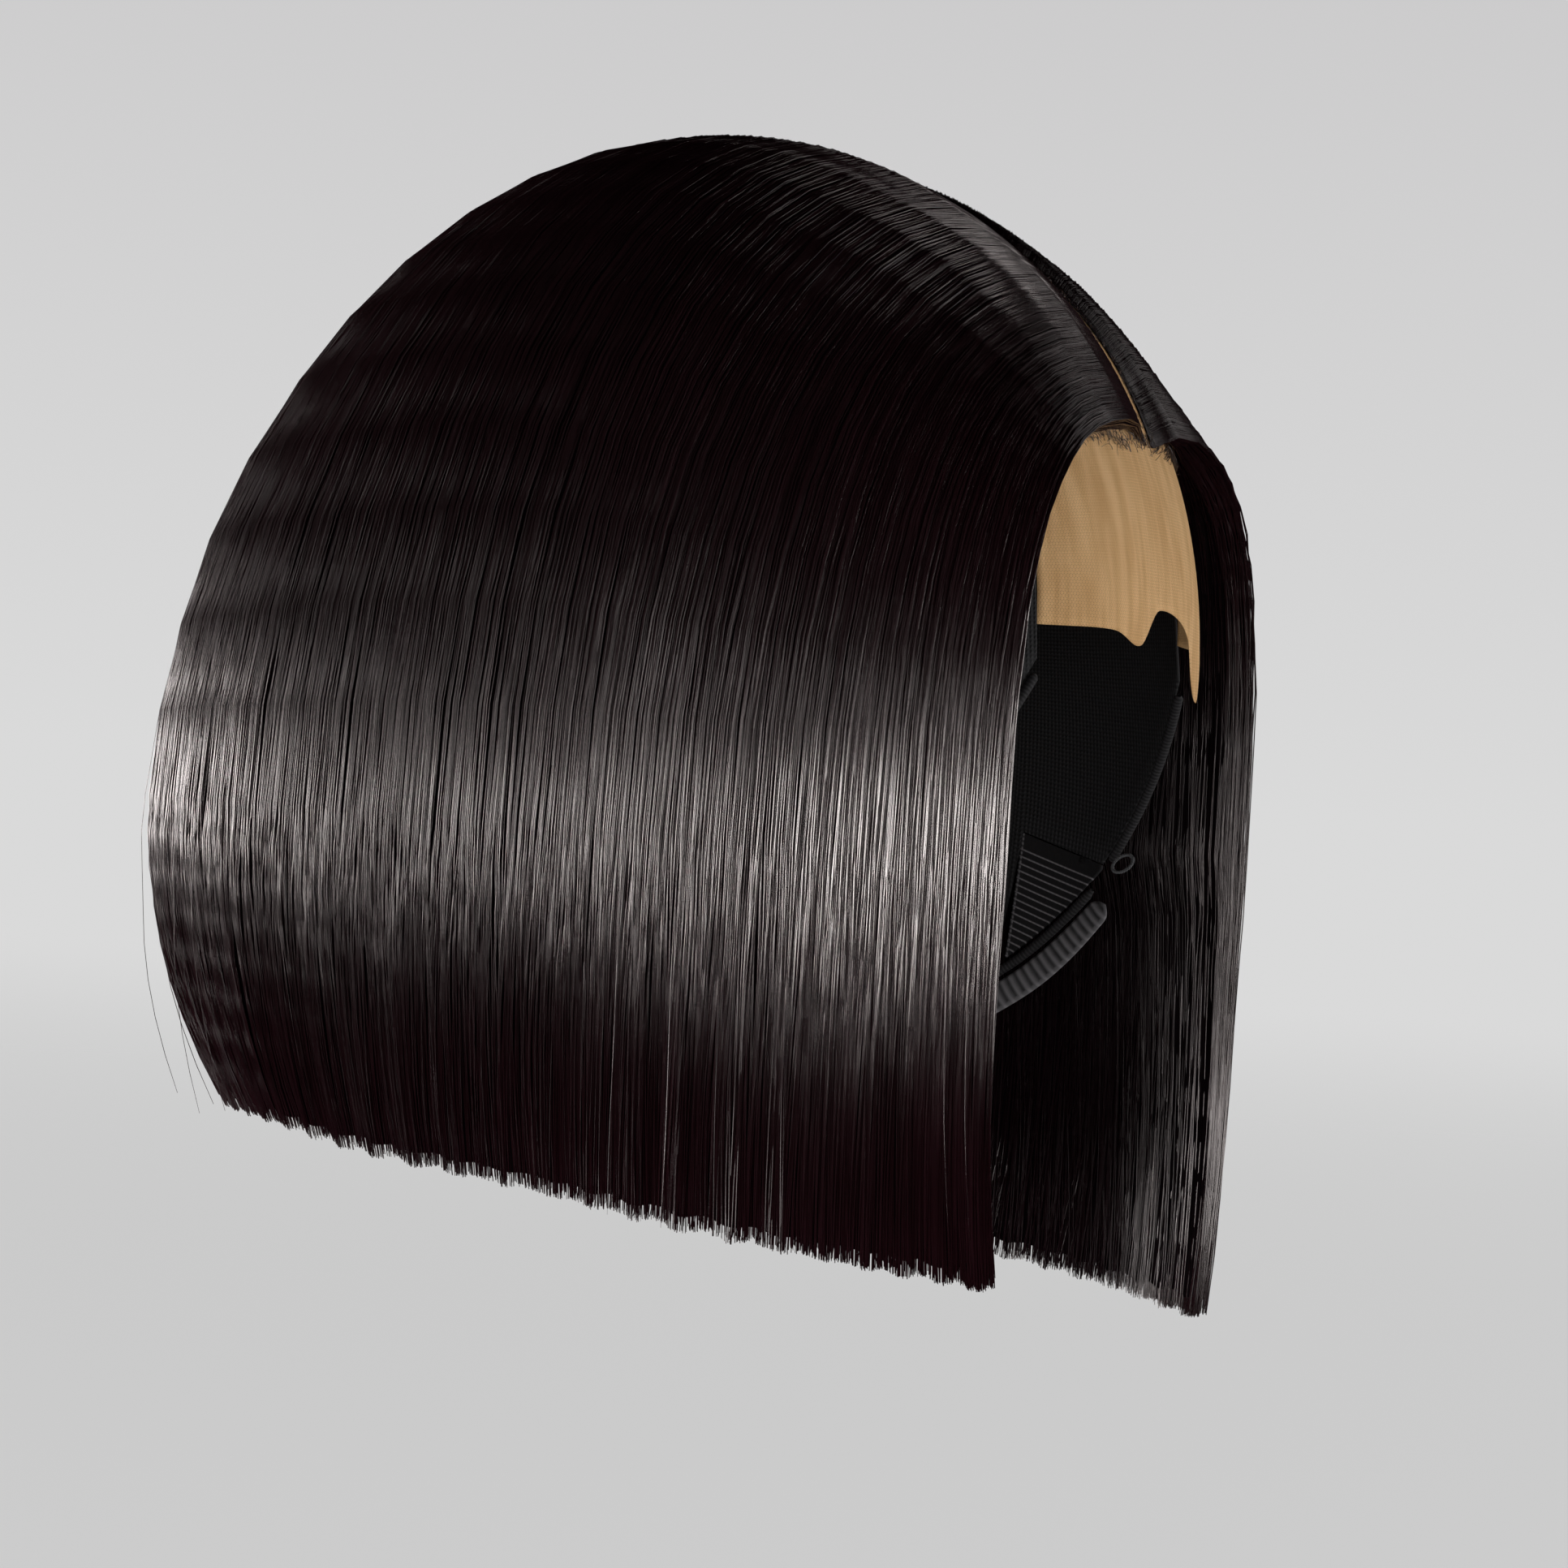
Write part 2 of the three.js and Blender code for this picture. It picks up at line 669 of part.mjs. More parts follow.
const wig = new THREE.Group();
wig.add(piece("cap_dome", capDomeGeometry(), meshFinish));
wig.add(piece("lace_closure", laceClosureGeometry(), laceFinish));
wig.add(piece("nape_binding", napeBindingGeometry(), cordFinish));
for (const [name, side] of [["right", -1], ["left", 1]]) {
  wig.add(piece(`ear_panel_${name}`, earPanelGeometry(side), elasticFinish));
  wig.add(piece(`face_binding_${name}`, faceBindingGeometry(side), cordFinish));
  wig.add(piece(`elastic_strap_${name}`, elasticStrapGeometry(side), elasticFinish));
  wig.add(piece(`ear_loop_${name}`, earLoopGeometry(side), cordFinish));
  wig.add(piece(`hair_${name}`, sideHairGeometry(side), hairFinish));
}
wig.add(piece("hair_back", backHairGeometry(), hairFinish));

export default wig;
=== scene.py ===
"""Looks of a bob wig with a centre part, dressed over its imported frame, in metres.

The wearer faces -Y, the wearer's left is +X and +Z is up. The origin is the highest point inside the cap.
"""
import logging
import math
from dataclasses import dataclass, field
from enum import Enum

import bpy
import numpy as np
from mathutils import Matrix, Vector


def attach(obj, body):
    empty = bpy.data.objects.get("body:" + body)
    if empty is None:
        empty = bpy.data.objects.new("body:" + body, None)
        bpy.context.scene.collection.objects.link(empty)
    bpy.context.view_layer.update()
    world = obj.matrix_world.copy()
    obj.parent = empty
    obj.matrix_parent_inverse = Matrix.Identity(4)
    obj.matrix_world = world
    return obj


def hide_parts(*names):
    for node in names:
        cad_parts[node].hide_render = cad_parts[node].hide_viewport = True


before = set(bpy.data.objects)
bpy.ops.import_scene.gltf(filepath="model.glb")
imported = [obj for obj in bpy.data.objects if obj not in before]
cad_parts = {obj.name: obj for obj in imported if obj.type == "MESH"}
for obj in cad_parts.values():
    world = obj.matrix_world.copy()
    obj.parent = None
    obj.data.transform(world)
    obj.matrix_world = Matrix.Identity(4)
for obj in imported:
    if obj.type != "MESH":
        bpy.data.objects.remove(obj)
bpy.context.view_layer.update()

log = logging.getLogger("wig")

Array = np.ndarray

MM = 0.001
DEGREE = math.pi / 180


class Side(Enum):
    """The wearer's side that a piece is on, as the sign of its X."""

    RIGHT = -1
    LEFT = 1

    @property
    def label(self) -> str:
        """Returns the side's name as the CAD nodes spell it."""
        return self.name.lower()


def smooth(share: Array) -> Array:
    """Returns the smooth step from 0 to 1 of a share."""
    held = np.clip(share, 0.0, 1.0)
    return held * held * (3 - 2 * held)


def blend(low: Array, high: Array, share: Array) -> Array:
    """Returns the value that lies at a share of the way from low to high."""
    return low + (high - low) * share


def table_value(keys: tuple, values: tuple, at: Array) -> Array:
    """Reads a smooth curve through a table's rows.

    Args:
        keys: Rising place of each row.
        values: Value of each row.
        at: Places to read.

    Returns:
        The value at each place, held at the first and last row outside them.
    """
    keys, values = np.array(keys, float), np.array(values, float)
    index = np.clip(np.searchsorted(keys, at, side="left") - 1, 0, len(keys) - 2)
    before = np.maximum(0, index - 1)
    after = np.minimum(len(keys) - 1, index + 2)
    span = keys[index + 1] - keys[index]
    share = np.clip((at - keys[index]) / span, 0, 1)
    start = (values[index + 1] - values[before]) / (keys[index + 1] - keys[before]) * span
    end = (values[after] - values[index]) / (keys[after] - keys[index]) * span
    square = share * share
    cube = square * share
    return (
        (2 * cube - 3 * square + 1) * values[index]
        + (cube - 2 * square + share) * start
        + (3 * square - 2 * cube) * values[index + 1]
        + (cube - square) * end
    )


@dataclass(frozen=True)
class HeadForm:
    """The head that the cap fits: a rounded form about a centre below the crown."""

    half_width: float = 78 * MM
    half_length: float = 99.5 * MM
    crown_height: float = 100 * MM
    side_depth: float = 220 * MM
    nape_depth: float = 160 * MM
    section_fullness: float = 2.6
    profile_fullness: float = 2.15
    low_fall: float = 175.0
    bisections: int = 34

    def radius(self, direction: Array) -> Array:
        """Returns the distance from the centre to the cap's inside, along unit directions."""
        width = np.abs(direction[..., 0] / self.half_width) ** self.section_fullness
        length = np.abs(direction[..., 1] / self.half_length) ** self.section_fullness
        across = (width + length) ** (1 / self.section_fullness)
        back = np.maximum(0, direction[..., 1]) ** 2
        below = self.side_depth + (self.nape_depth - self.side_depth) * back
        reach = np.where(direction[..., 2] > 0, self.crown_height, below)
        height = np.abs(direction[..., 2]) / reach
        total = across**self.profile_fullness + height**self.profile_fullness
        return total ** (-1 / self.profile_fullness)

    def point(self, direction: Array, offset: Array) -> Array:
        """Returns points that lie an offset outside the cap's inside, along unit directions."""
        out = direction * (self.radius(direction) + offset)[..., None]
        out[..., 2] -= self.crown_height
        return out

    @staticmethod
    def direction(turn: Array, fall: Array) -> Array:
        """Returns unit directions at a turn from the front and a fall from the crown, in degrees."""
        level = np.sin(fall * DEGREE)
        x = level * np.sin(turn * DEGREE)
        y = -level * np.cos(turn * DEGREE)
        return np.stack([x, y, np.cos(fall * DEGREE)], axis=-1)

    @staticmethod
    def closure_direction(side_angle: Array, fall: Array) -> Array:
        """Returns unit directions in the lace closure's own grid, in degrees."""
        near = np.cos(side_angle * DEGREE)
        x = np.sin(side_angle * DEGREE)
        y = -near * np.sin(fall * DEGREE)
        return np.stack([x, y, near * np.cos(fall * DEGREE)], axis=-1)

    def fall_at_drop(self, turn: Array, drop: Array) -> Array:
        """Returns the fall at which the cap's inside is a drop below the crown, at a turn."""
        turn, drop = np.broadcast_arrays(np.asarray(turn, float), np.asarray(drop, float))
        low = np.zeros(turn.shape)
        high = np.full(turn.shape, self.low_fall)
        for _ in range(self.bisections):
            middle = (low + high) / 2
            above = self.point(self.direction(turn, middle), np.zeros(turn.shape))[..., 2] > -drop
            low = np.where(above, middle, low)
            high = np.where(above, high, middle)
        return (low + high) / 2


@dataclass(frozen=True)
class CapForm:
    """The cap's walls and edges over the head."""

    head: HeadForm = field(default_factory=HeadForm)
    wall: float = 1.2 * MM
    lace_wall: float = 0.8 * MM
    clearance: float = 0.35 * MM
    closure_half_width: float = 51 * MM
    closure_back_fall: float = 11.0
    hairline_fall: float = 66.0
    flap_length: float = 43 * MM
    flap_stand_off: float = 1.6 * MM
    temple_turn: float = 29.0
    temple_drop: float = 103 * MM
    tab_turn: float = 48.0
    tab_drop: float = 149.5 * MM
    seam_turn: float = 61.3
    hem_rise: float = 5 * MM
    nape_drop: float = 192 * MM
    face_flare: float = 7 * MM
    flare_start_drop: float = 85 * MM
    flare_end_turn: float = 76.0
    nape_turns: tuple = (42, 48, 61.3, 74, 90, 135, 180)
    nape_shares: tuple = (-0.22, 0.03, 0.6, 0.93, 1.0, 0.93, 0.8)
    flap_across: tuple = (-1.0, -0.6, -0.36, -0.18, 0.2, 0.52, 0.66, 1.0)
    flap_lengths: tuple = (1.0, 0.99, 1.05, 0.86, 0.98, 1.3, 1.08, 0.98)

    @property
    def closure_half_angle(self) -> float:
        """Returns half the closure's width as an angle at the head's centre."""
        return math.asin(self.closure_half_width / self.head.half_length) / DEGREE

    @property
    def arc_radius(self) -> float:
        """Returns the mean radius of the cap's edge."""
        return (self.head.half_width + self.head.half_length) / 2

    def nape_edge(self, turn: Array) -> Array:
        """Returns the drop of the lower edge at a turn from the front."""
        share = table_value(self.nape_turns, self.nape_shares, turn)
        return self.tab_drop + (self.nape_drop - self.tab_drop) * share

    def fabric_edge(self, turn: Array) -> Array:
        """Returns the drop of the stretch fabric's edge at a turn from the front."""
        face = np.minimum(1, (turn - self.temple_turn) / (self.tab_turn - self.temple_turn))
        hem = np.maximum(0, (turn - self.tab_turn) / (self.seam_turn - self.tab_turn))
        front = self.temple_drop + (self.tab_drop - self.temple_drop) * face - self.hem_rise * hem
        return np.where(turn > self.seam_turn, self.nape_edge(turn), front)

    def flare(self, turn: Array, drop: Array) -> Array:
        """Returns how far the face edge stands away from the head."""
        low = smooth((drop - self.flare_start_drop) / (self.tab_drop - self.flare_start_drop))
        near = smooth((self.flare_end_turn - turn) / (self.flare_end_turn - self.tab_turn))
        return self.face_flare * low * near

    def fabric_point(self, signed_turn: Array, drop: Array, offset: Array) -> Array:
        """Returns points of the fabric at a signed turn and a drop, moved out by an offset."""
        turn = np.abs(signed_turn)
        direction = self.head.direction(signed_turn, self.head.fall_at_drop(turn, drop))
        return self.head.point(direction, offset + self.flare(turn, drop))

    def edge_route(self, side: Side, turns: Array, edge, away: float, offset: float) -> Array:
        """Follows an edge of the cap at a distance from it.

        Args:
            side: Side of the head.
            turns: Turns from the front, in degrees.
            edge: Function that gives the edge's drop at a turn.
            away: Distance from the edge across the cap's surface.
            offset: Distance out from the cap's inside.

        Returns:
            One point for each turn.
        """
        step = 0.5
        rise = edge(turns + step) - edge(turns - step)
        run = 2 * step * DEGREE * self.arc_radius
        length = np.hypot(rise, run)
        moved_turn = turns - rise / length * (away / self.arc_radius / DEGREE)
        moved_drop = edge(turns) + run / length * away
        return self.fabric_point(side.value * moved_turn, moved_drop, offset)


@dataclass(frozen=True)
class HairForm:
    """The hair's outer and inner surfaces, and the lines that its strands follow.

    Along runs from the front edge (0) to the middle of the back (1). Share runs from the part (0) over the
    arch to the shoulder line and down to the cut (1).
    """

    cap: CapForm = field(default_factory=CapForm)
    seat: float = 1.0 * MM
    half_width: float = 98 * MM
    front_reach: float = 98 * MM
    back_reach: float = 147 * MM
    fullness: float = 2.25
    shoulder_drop: float = 150 * MM
    front_cut: float = 241 * MM
    back_cut: float = 221 * MM
    left_extra: float = 20 * MM
    left_extra_power: float = 1.6
    part_end_angle: float = 8.0
    root_set_back: float = 1.5
    part_half_width: float = 2.2 * MM
    whorl_radius: float = 1.5 * MM
    front_rise: float = 6 * MM
    crown_rise: float = 11 * MM
    part_dip: float = 2.5 * MM
    least_wall: float = 1.9 * MM
    ridge_reach: float = 13 * MM
    root_sink: float = 1.45 * MM
    sink_share: float = 0.64
    front_lay_reach: float = 22 * MM
    crown_lay_reach: float = 15 * MM
    body_thickness: float = 17 * MM
    edge_thickness: float = 7 * MM
    edge_along: float = 0.16
    tip_thickness: float = 3.2 * MM
    lock_count: int = 26
    lock_depth: float = 0.5 * MM
    lock_fringe: float = 1.4 * MM
    turn_in_power: float = 2.2
    seam_along: float = 0.62
    arch_share: float = 0.62
    fan_start: float = 0.5
    fan_span: float = 0.25
    whorl_start: float = 0.54
    whorl_span: float = 0.46
    whorl_hold: float = 0.6
    crown_start: float = 0.25
    crown_span: float = 0.35
    laid_depth: float = 0.97
    crest_change: float = 0.25
    crest_turns: float = 23.0
    fabric_end_drop: float = 195.6 * MM
    lowest_drop: float = 250 * MM
    alongs: tuple = (0.0, 0.18, 0.36, 0.54, 0.72, 0.87, 1.0)
    roots: tuple = (0.0, 0.22, 0.5, 0.87, 1.0, 1.0, 1.0)
    foot_across: tuple = (0.915, 0.97, 1.0, 0.96, 0.78, 0.44, 0.0)
    foot_reach: tuple = (-0.98, -0.62, -0.1, 0.32, 0.67, 0.9, 1.0)
    tip_across: tuple = (0.81, 0.94, 0.94, 0.89, 0.7, 0.38, 0.0)
    tip_reach: tuple = (-0.98, -0.62, -0.1, 0.28, 0.57, 0.755, 0.82)
    cuts: tuple = (0.0, 0.2, 0.5, 0.78, 0.98, 1.03, 1.04)
    fulls: tuple = (1.33, 1.08, 0.98, 0.93, 0.87, 0.84, 0.83)
    turn_ins: tuple = (1.6, 1.3, 1.1, 1.0, 1.0, 1.0, 1.0)

    def _column(self, values: tuple, along: Array, mirror: float = 1.0) -> Array:
        """Reads one guide column, carried on past the middle of the back."""
        keys = self.alongs + tuple(2 - key for key in self.alongs[-2:-4:-1])
        rows = values + tuple(mirror * value for value in values[-2:-4:-1])
        return table_value(keys, rows, along)

    def _reach(self, share: Array) -> Array:
        """Returns a share of the front reach as metres where negative, else of the back reach."""
        return share * np.where(share < 0, self.front_reach, self.back_reach)

    def crest(self, along: Array) -> Array:
        """Returns the relief of the locks: 0 in a valley, 1 on a crest."""
        wave = 0.5 - 0.5 * np.cos(2 * np.pi * self.lock_count * along)
        return wave * (1 - self.crest_change + self.crest_change * np.sin(self.crest_turns * along + 1))

    def _line(self, along: Array) -> tuple:
        """Returns the root and foot of the lines at a place along, and how far they fan round the crown."""
        root_share = np.minimum(1, self._column(self.roots, along))
        root_fall = self.cap.hairline_fall - self.root_set_back
        rise = self.front_rise + (self.crown_rise - self.front_rise) * smooth(root_share)
        fall = root_fall - (root_fall + self.part_end_angle) * root_share
        root = self.cap.head.point(self.cap.head.closure_direction(np.zeros_like(fall), fall), rise)
        fan = smooth((along - self.fan_start) / self.fan_span)
        fan_angle = np.pi * np.maximum(0, (along - self.whorl_start) / self.whorl_span)
        whorl_x = self.whorl_radius * np.sin(fan_angle)
        root[..., 0] = self.part_half_width + (whorl_x - self.part_half_width) * fan
        root[..., 1] -= self.whorl_radius * np.cos(fan_angle) * fan
        foot_x = self.half_width * self._column(self.foot_across, along, -1.0)
        foot_y = self._reach(self._column(self.foot_reach, along))
        return root, np.stack([foot_x, foot_y], axis=-1), fan

    def _arch(self, along: Array, share: Array) -> tuple:
        """Returns how far out and how high the arch has come at a share, each from 0 to 1."""
        fullness = self.fullness * self._column(self.fulls, along)
        angle = np.clip(share / self.arch_share, 0, 1) * (np.pi / 2)
        return np.sin(angle) ** (2 / fullness), np.maximum(0, np.cos(angle)) ** (2 / fullness)

    def lay_reach(self, along: Array) -> Array:
        """Returns how far beside the part the hair still rises from the cap."""
        root_share = np.minimum(1, self._column(self.roots, along))
        back = smooth((root_share - self.crown_start) / self.crown_span)
        return blend(self.front_lay_reach, self.crown_lay_reach, back)

    def beside_part(self, along: Array, share: Array, reach: float) -> Array:
        """Returns 1 at the part and 0 past a reach across from it."""
        root, foot, fan = self._line(along)
        level, _ = self._arch(along, share)
        travelled = np.hypot(foot[..., 0] - root[..., 0], foot[..., 1] - root[..., 1]) * level
        return (1 - smooth(travelled / reach)) * (1 - self.whorl_hold * fan)

    def form(self, side: Array, along: Array, share: Array) -> Array:
        """Returns the free outer form of the hair, before it is held clear of the cap."""
        root, foot, fan = self._line(along)
        tip_x = self.half_width * self._column(self.tip_across, along, -1.0)
        tip_y = self._reach(self._column(self.tip_reach, along))
        level, height = self._arch(along, share)
        travelled = np.hypot(foot[..., 0] - root[..., 0], foot[..., 1] - root[..., 1]) * level
        dip = self.part_dip * (1 - fan) * (1 - smooth(travelled / self.ridge_reach))
        arch_z = -self.shoulder_drop + (root[..., 2] + self.shoulder_drop) * height - dip
        arch_x = blend(root[..., 0], foot[..., 0], level)
        arch_y = blend(root[..., 1], foot[..., 1], level)
        arch = np.stack([arch_x, arch_y, arch_z], axis=-1)
        down = np.maximum(0, (share - self.arch_share) / (1 - self.arch_share))
        turn_in = down ** (self.turn_in_power * self._column(self.turn_ins, along))
        crest = self.crest(along)
        cut = -self.front_cut + (self.front_cut - self.back_cut) * self._column(self.cuts, along)
        cut = cut - np.where(side > 0, self.left_extra * (1 - along**self.left_extra_power), 0)
        cut = cut - self.lock_fringe * (crest - 0.5)
        x = blend(foot[..., 0], tip_x, turn_in)
        y = blend(foot[..., 1], tip_y, turn_in)
        inward = self.lock_depth * (1 - crest) * smooth(2 * down) / np.hypot(x, y)
        fallen_z = -self.shoulder_drop + (cut + self.shoulder_drop) * down
        fallen = np.stack([x * (1 - inward), y * (1 - inward), fallen_z], axis=-1)
        out = np.where((share <= self.arch_share)[..., None], arch, fallen)
        out[..., 0] *= side
        return out

    def _from_head(self, point: Array) -> tuple:
        """Returns the centre, unit direction and distance of points, and the distance of the hair's seat."""
        centre_z = np.minimum(point[..., 2], -self.cap.head.crown_height)
        centre = np.stack([np.zeros_like(centre_z), np.zeros_like(centre_z), centre_z], axis=-1)
        direction = point - centre
        distance = np.linalg.norm(direction, axis=-1)
        direction = direction / distance[..., None]
        turn = np.abs(np.arctan2(point[..., 0], -point[..., 1])) / DEGREE
        drop = -point[..., 2]
        stand = self.cap.wall + self.seat
        above = self.cap.head.radius(direction) + self.cap.flare(turn, drop) + stand
        wall = self.cap.fabric_point(turn, np.minimum(drop, self.lowest_drop), stand)
        beside = np.where(drop > self.fabric_end_drop, 0, np.hypot(wall[..., 0], wall[..., 1]))
        seat = np.where(point[..., 2] > -self.cap.head.crown_height, above, beside)
        return centre, direction, distance, seat

    def outer(self, side: Array, along: Array, share: Array) -> Array:
        """Returns the outer surface of the hair."""
        centre, direction, distance, seat = self._from_head(self.form(side, along, share))
        return centre + direction * np.maximum(distance, seat + self.least_wall)[..., None]

    def between(self, side: Array, along: Array, share: Array, depth: Array) -> Array:
        """Finds points inside the hair's thickness, laid down on the cap beside the part.

        Args:
            side: -1 on the wearer's right, 1 on the left.
            along: Place along the footprint.
            share: Place from the part to the cut.
            depth: 0 on the outer surface, 1 on the inner one.

        Returns:
            One point for each place.
        """
        centre, direction, distance, seat = self._from_head(self.outer(side, along, share))
        down = np.maximum(0, (share - self.arch_share) / (1 - self.arch_share))
        body = blend(self.edge_thickness, self.body_thickness, smooth(along / self.edge_along))
        thickness = blend(body, self.tip_thickness, np.sqrt(np.minimum(1, down)))
        inner = np.maximum(distance - thickness, seat)
        reach = self.lay_reach(along)
        depth = blend(depth, self.laid_depth, self.beside_part(along, share, reach))
        sink = self.root_sink * self.beside_part(along, share, self.sink_share * reach)
        return centre + direction * (blend(distance, inner, depth) - sink)[..., None]


class Socket:
    """A shader value: Python arithmetic on it adds Math nodes."""

    def __init__(self, tree: bpy.types.NodeTree, socket: bpy.types.NodeSocket) -> None:
        """Wraps one output socket of a node tree."""
        self.tree = tree
        self.socket = socket

    def _math(self, operation: str, *values: object) -> "Socket":
        """Returns the output of one Math node over these values."""
        node = self.tree.nodes.new("ShaderNodeMath")
        node.operation = operation
        for index, value in enumerate(values):
            if isinstance(value, Socket):
                self.tree.links.new(value.socket, node.inputs[index])
            else:
                node.inputs[index].default_value = value
        return Socket(self.tree, node.outputs[0])

    def __add__(self, other: object) -> "Socket":
        """Returns self + other."""
        return self._math("ADD", self, other)

    __radd__ = __add__

    def __sub__(self, other: object) -> "Socket":
        """Returns self - other."""
        return self._math("SUBTRACT", self, other)

    def __rsub__(self, other: object) -> "Socket":
        """Returns other - self."""
        return self._math("SUBTRACT", other, self)

    def __mul__(self, other: object) -> "Socket":
        """Returns self * other."""
        return self._math("MULTIPLY", self, other)

    __rmul__ = __mul__

    def __truediv__(self, other: object) -> "Socket":
        """Returns self / other."""
        return self._math("DIVIDE", self, other)

    def __pow__(self, other: object) -> "Socket":
        """Returns self ** other."""
        return self._math("POWER", self, other)

    def fraction(self) -> "Socket":
        """Returns the fractional part."""
        return self._math("FRACT", self)

    def magnitude(self) -> "Socket":
        """Returns the absolute value."""
        return self._math("ABSOLUTE", self)

    def sine(self) -> "Socket":
        """Returns the sine of the value in radians."""
        return self._math("SINE", self)

    def wave(self) -> "Socket":
        """Returns a wave from 0 to 1 that repeats each time the value grows by 1."""
        return (self * math.tau).sine() * 0.5 + 0.5

    def above(self, limit: object) -> "Socket":
        """Returns 1 where the value is over the limit, else 0."""
        return self._math("GREATER_THAN", self, limit)

    def least(self, other: object) -> "Socket":
        """Returns the smaller of two values."""
        return self._math("MINIMUM", self, other)

    def most(self, other: object) -> "Socket":
        """Returns the larger of two values."""
        return self._math("MAXIMUM", self, other)

    def step(self, low: float, high: float) -> "Socket":
        """Returns a smooth step from 0 at low to 1 at high."""
        node = self.tree.nodes.new("ShaderNodeMapRange")
        node.interpolation_type = "SMOOTHSTEP"
        self.tree.links.new(self.socket, node.inputs["Value"])
        node.inputs["From Min"].default_value = low
        node.inputs["From Max"].default_value = high
        return Socket(self.tree, node.outputs[0])


class Recipe:
    """A material under construction."""

    def __init__(self, name: str) -> None:
        """Makes a material with its Principled shader and its output."""
        self.material = bpy.data.materials.new(name)
        self.material.use_nodes = True
        self.tree = self.material.node_tree
        self.tree.nodes.clear()
        self.shader = self.node("ShaderNodeBsdfPrincipled")
        output = self.node("ShaderNodeOutputMaterial")
        self.tree.links.new(self.shader.outputs[0], output.inputs["Surface"])

    def node(self, kind: str, settings: dict | None = None, inputs: dict | None = None) -> bpy.types.Node:
        """Adds a node.

        Args:
            kind: The node's type.
            settings: Its own settings, set first.
            inputs: Values or Sockets for its input sockets, by name or number.

        Returns:
            The node.
        """
        made = self.tree.nodes.new(kind)
        for name, value in (settings or {}).items():
            setattr(made, name, value)
        for name, value in (inputs or {}).items():
            if isinstance(value, Socket):
                self.tree.links.new(value.socket, made.inputs[name])
            else:
                made.inputs[name].default_value = value
        return made

    def out(self, node: bpy.types.Node, name: object = 0) -> Socket:
        """Returns one output of a node as a Socket."""
        return Socket(self.tree, node.outputs[name])

    def place(self) -> Socket:
        """Returns Object coordinates."""
        return self.out(self.node("ShaderNodeTexCoord"), "Object")

    def parts(self, vector: Socket) -> tuple:
        """Returns the three numbers of a vector."""
        node = self.node("ShaderNodeSeparateXYZ", inputs={0: vector})
        return tuple(self.out(node, index) for index in range(3))

    def uv(self) -> tuple:
        """Returns the two numbers of the piece's own UV map."""
        node = self.node("ShaderNodeUVMap", {"uv_map": "UVMap"})
        return self.parts(self.out(node))[:2]

    def vector(self, x: object, y: object, z: object = 0.0) -> Socket:
        """Returns a vector made of three values."""
        return self.out(self.node("ShaderNodeCombineXYZ", inputs={0: x, 1: y, 2: z}))

    def noise(self, vector: Socket, scale: float, detail: float = 2.0, roughness: float = 0.5) -> Socket:
        """Returns smooth noise from 0 to 1 over a vector."""
        values = {"Vector": vector, "Scale": scale, "Detail": detail, "Roughness": roughness}
        return self.out(self.node("ShaderNodeTexNoise", inputs=values), "Fac")

    def streaks(
        self, across: Socket, down: Socket, scales: tuple, detail: float = 1.0, roughness: float = 0.5
    ) -> Socket:
        """Returns noise with its own scale across and down."""
        return self.noise(self.vector(across * scales[0], down * scales[1]), 1.0, detail, roughness)

    def mix(self, share: object, low: tuple, high: tuple) -> Socket:
        """Returns the colour at a share of the way from low to high."""
        node = self.node("ShaderNodeMix", {"data_type": "RGBA"})
        for index, value in ((0, share), (6, low), (7, high)):
            if isinstance(value, Socket):
                self.tree.links.new(value.socket, node.inputs[index])
            else:
                node.inputs[index].default_value = value if index == 0 else (*value, 1.0)
        return self.out(node, 2)

    def bump(self, height: Socket, distance: float, strength: float = 1.0) -> Socket:
        """Returns the normal that a height gives."""
        values = {"Strength": strength, "Distance": distance, "Height": height}
        return self.out(self.node("ShaderNodeBump", inputs=values))

    def surface(self, **inputs: object) -> bpy.types.Material:
        """Sets the shader's sockets, with each space in a name written as an underscore.

        Args:
            inputs: Values or Sockets, by the socket's name.

        Returns:
            The finished material.
        """
        for name, value in inputs.items():
            socket = self.shader.inputs[name.replace("_", " ")]
            if isinstance(value, Socket):
                self.tree.links.new(value.socket, socket)
            elif isinstance(value, tuple):
                socket.default_value = (*value, 1.0)
            else:
                socket.default_value = value
        return self.material


@dataclass(frozen=True)
class StrandFinish:
    """Glossy near-black hair. The UV map holds each strand's place along and its share from root to tip."""

    dark: tuple = (0.0032, 0.0007, 0.0009)
    light: tuple = (0.027, 0.0072, 0.0105)
    roughness: tuple = (0.16, 0.27)
    sheen: tuple = (1.0, 0.92, 0.9)
    refraction: float = 2.4
    wobble: float = 0.34 * MM
    name: str = "hair_strand"
    tip_lift: float = 0.2

    def material(self) -> bpy.types.Material:
        """Returns the strands' material."""
        recipe = Recipe(self.name)
        own, down = recipe.uv()
        streak = recipe.streaks(own, down, (150.0, 2.0), 2.0)
        fine = recipe.streaks(own, down, (900.0, 4.0))
        tone = (fine * fine * 0.9 + streak * 0.4 + down.step(0.93, 1.0) * self.tip_lift).least(1.0)
        calm = 1 - down.step(0.66, 0.92) * 0.5
        rough = (fine * (self.roughness[1] - self.roughness[0]) + self.roughness[0]) * calm
        uneven = recipe.streaks(own, down, (620.0, 15.0))
        return recipe.surface(
            Base_Color=recipe.mix(tone, self.dark, self.light),
            Roughness=rough,
            IOR=self.refraction,
            Specular_Tint=self.sheen,
            Normal=recipe.bump(uneven * calm, self.wobble),
        )


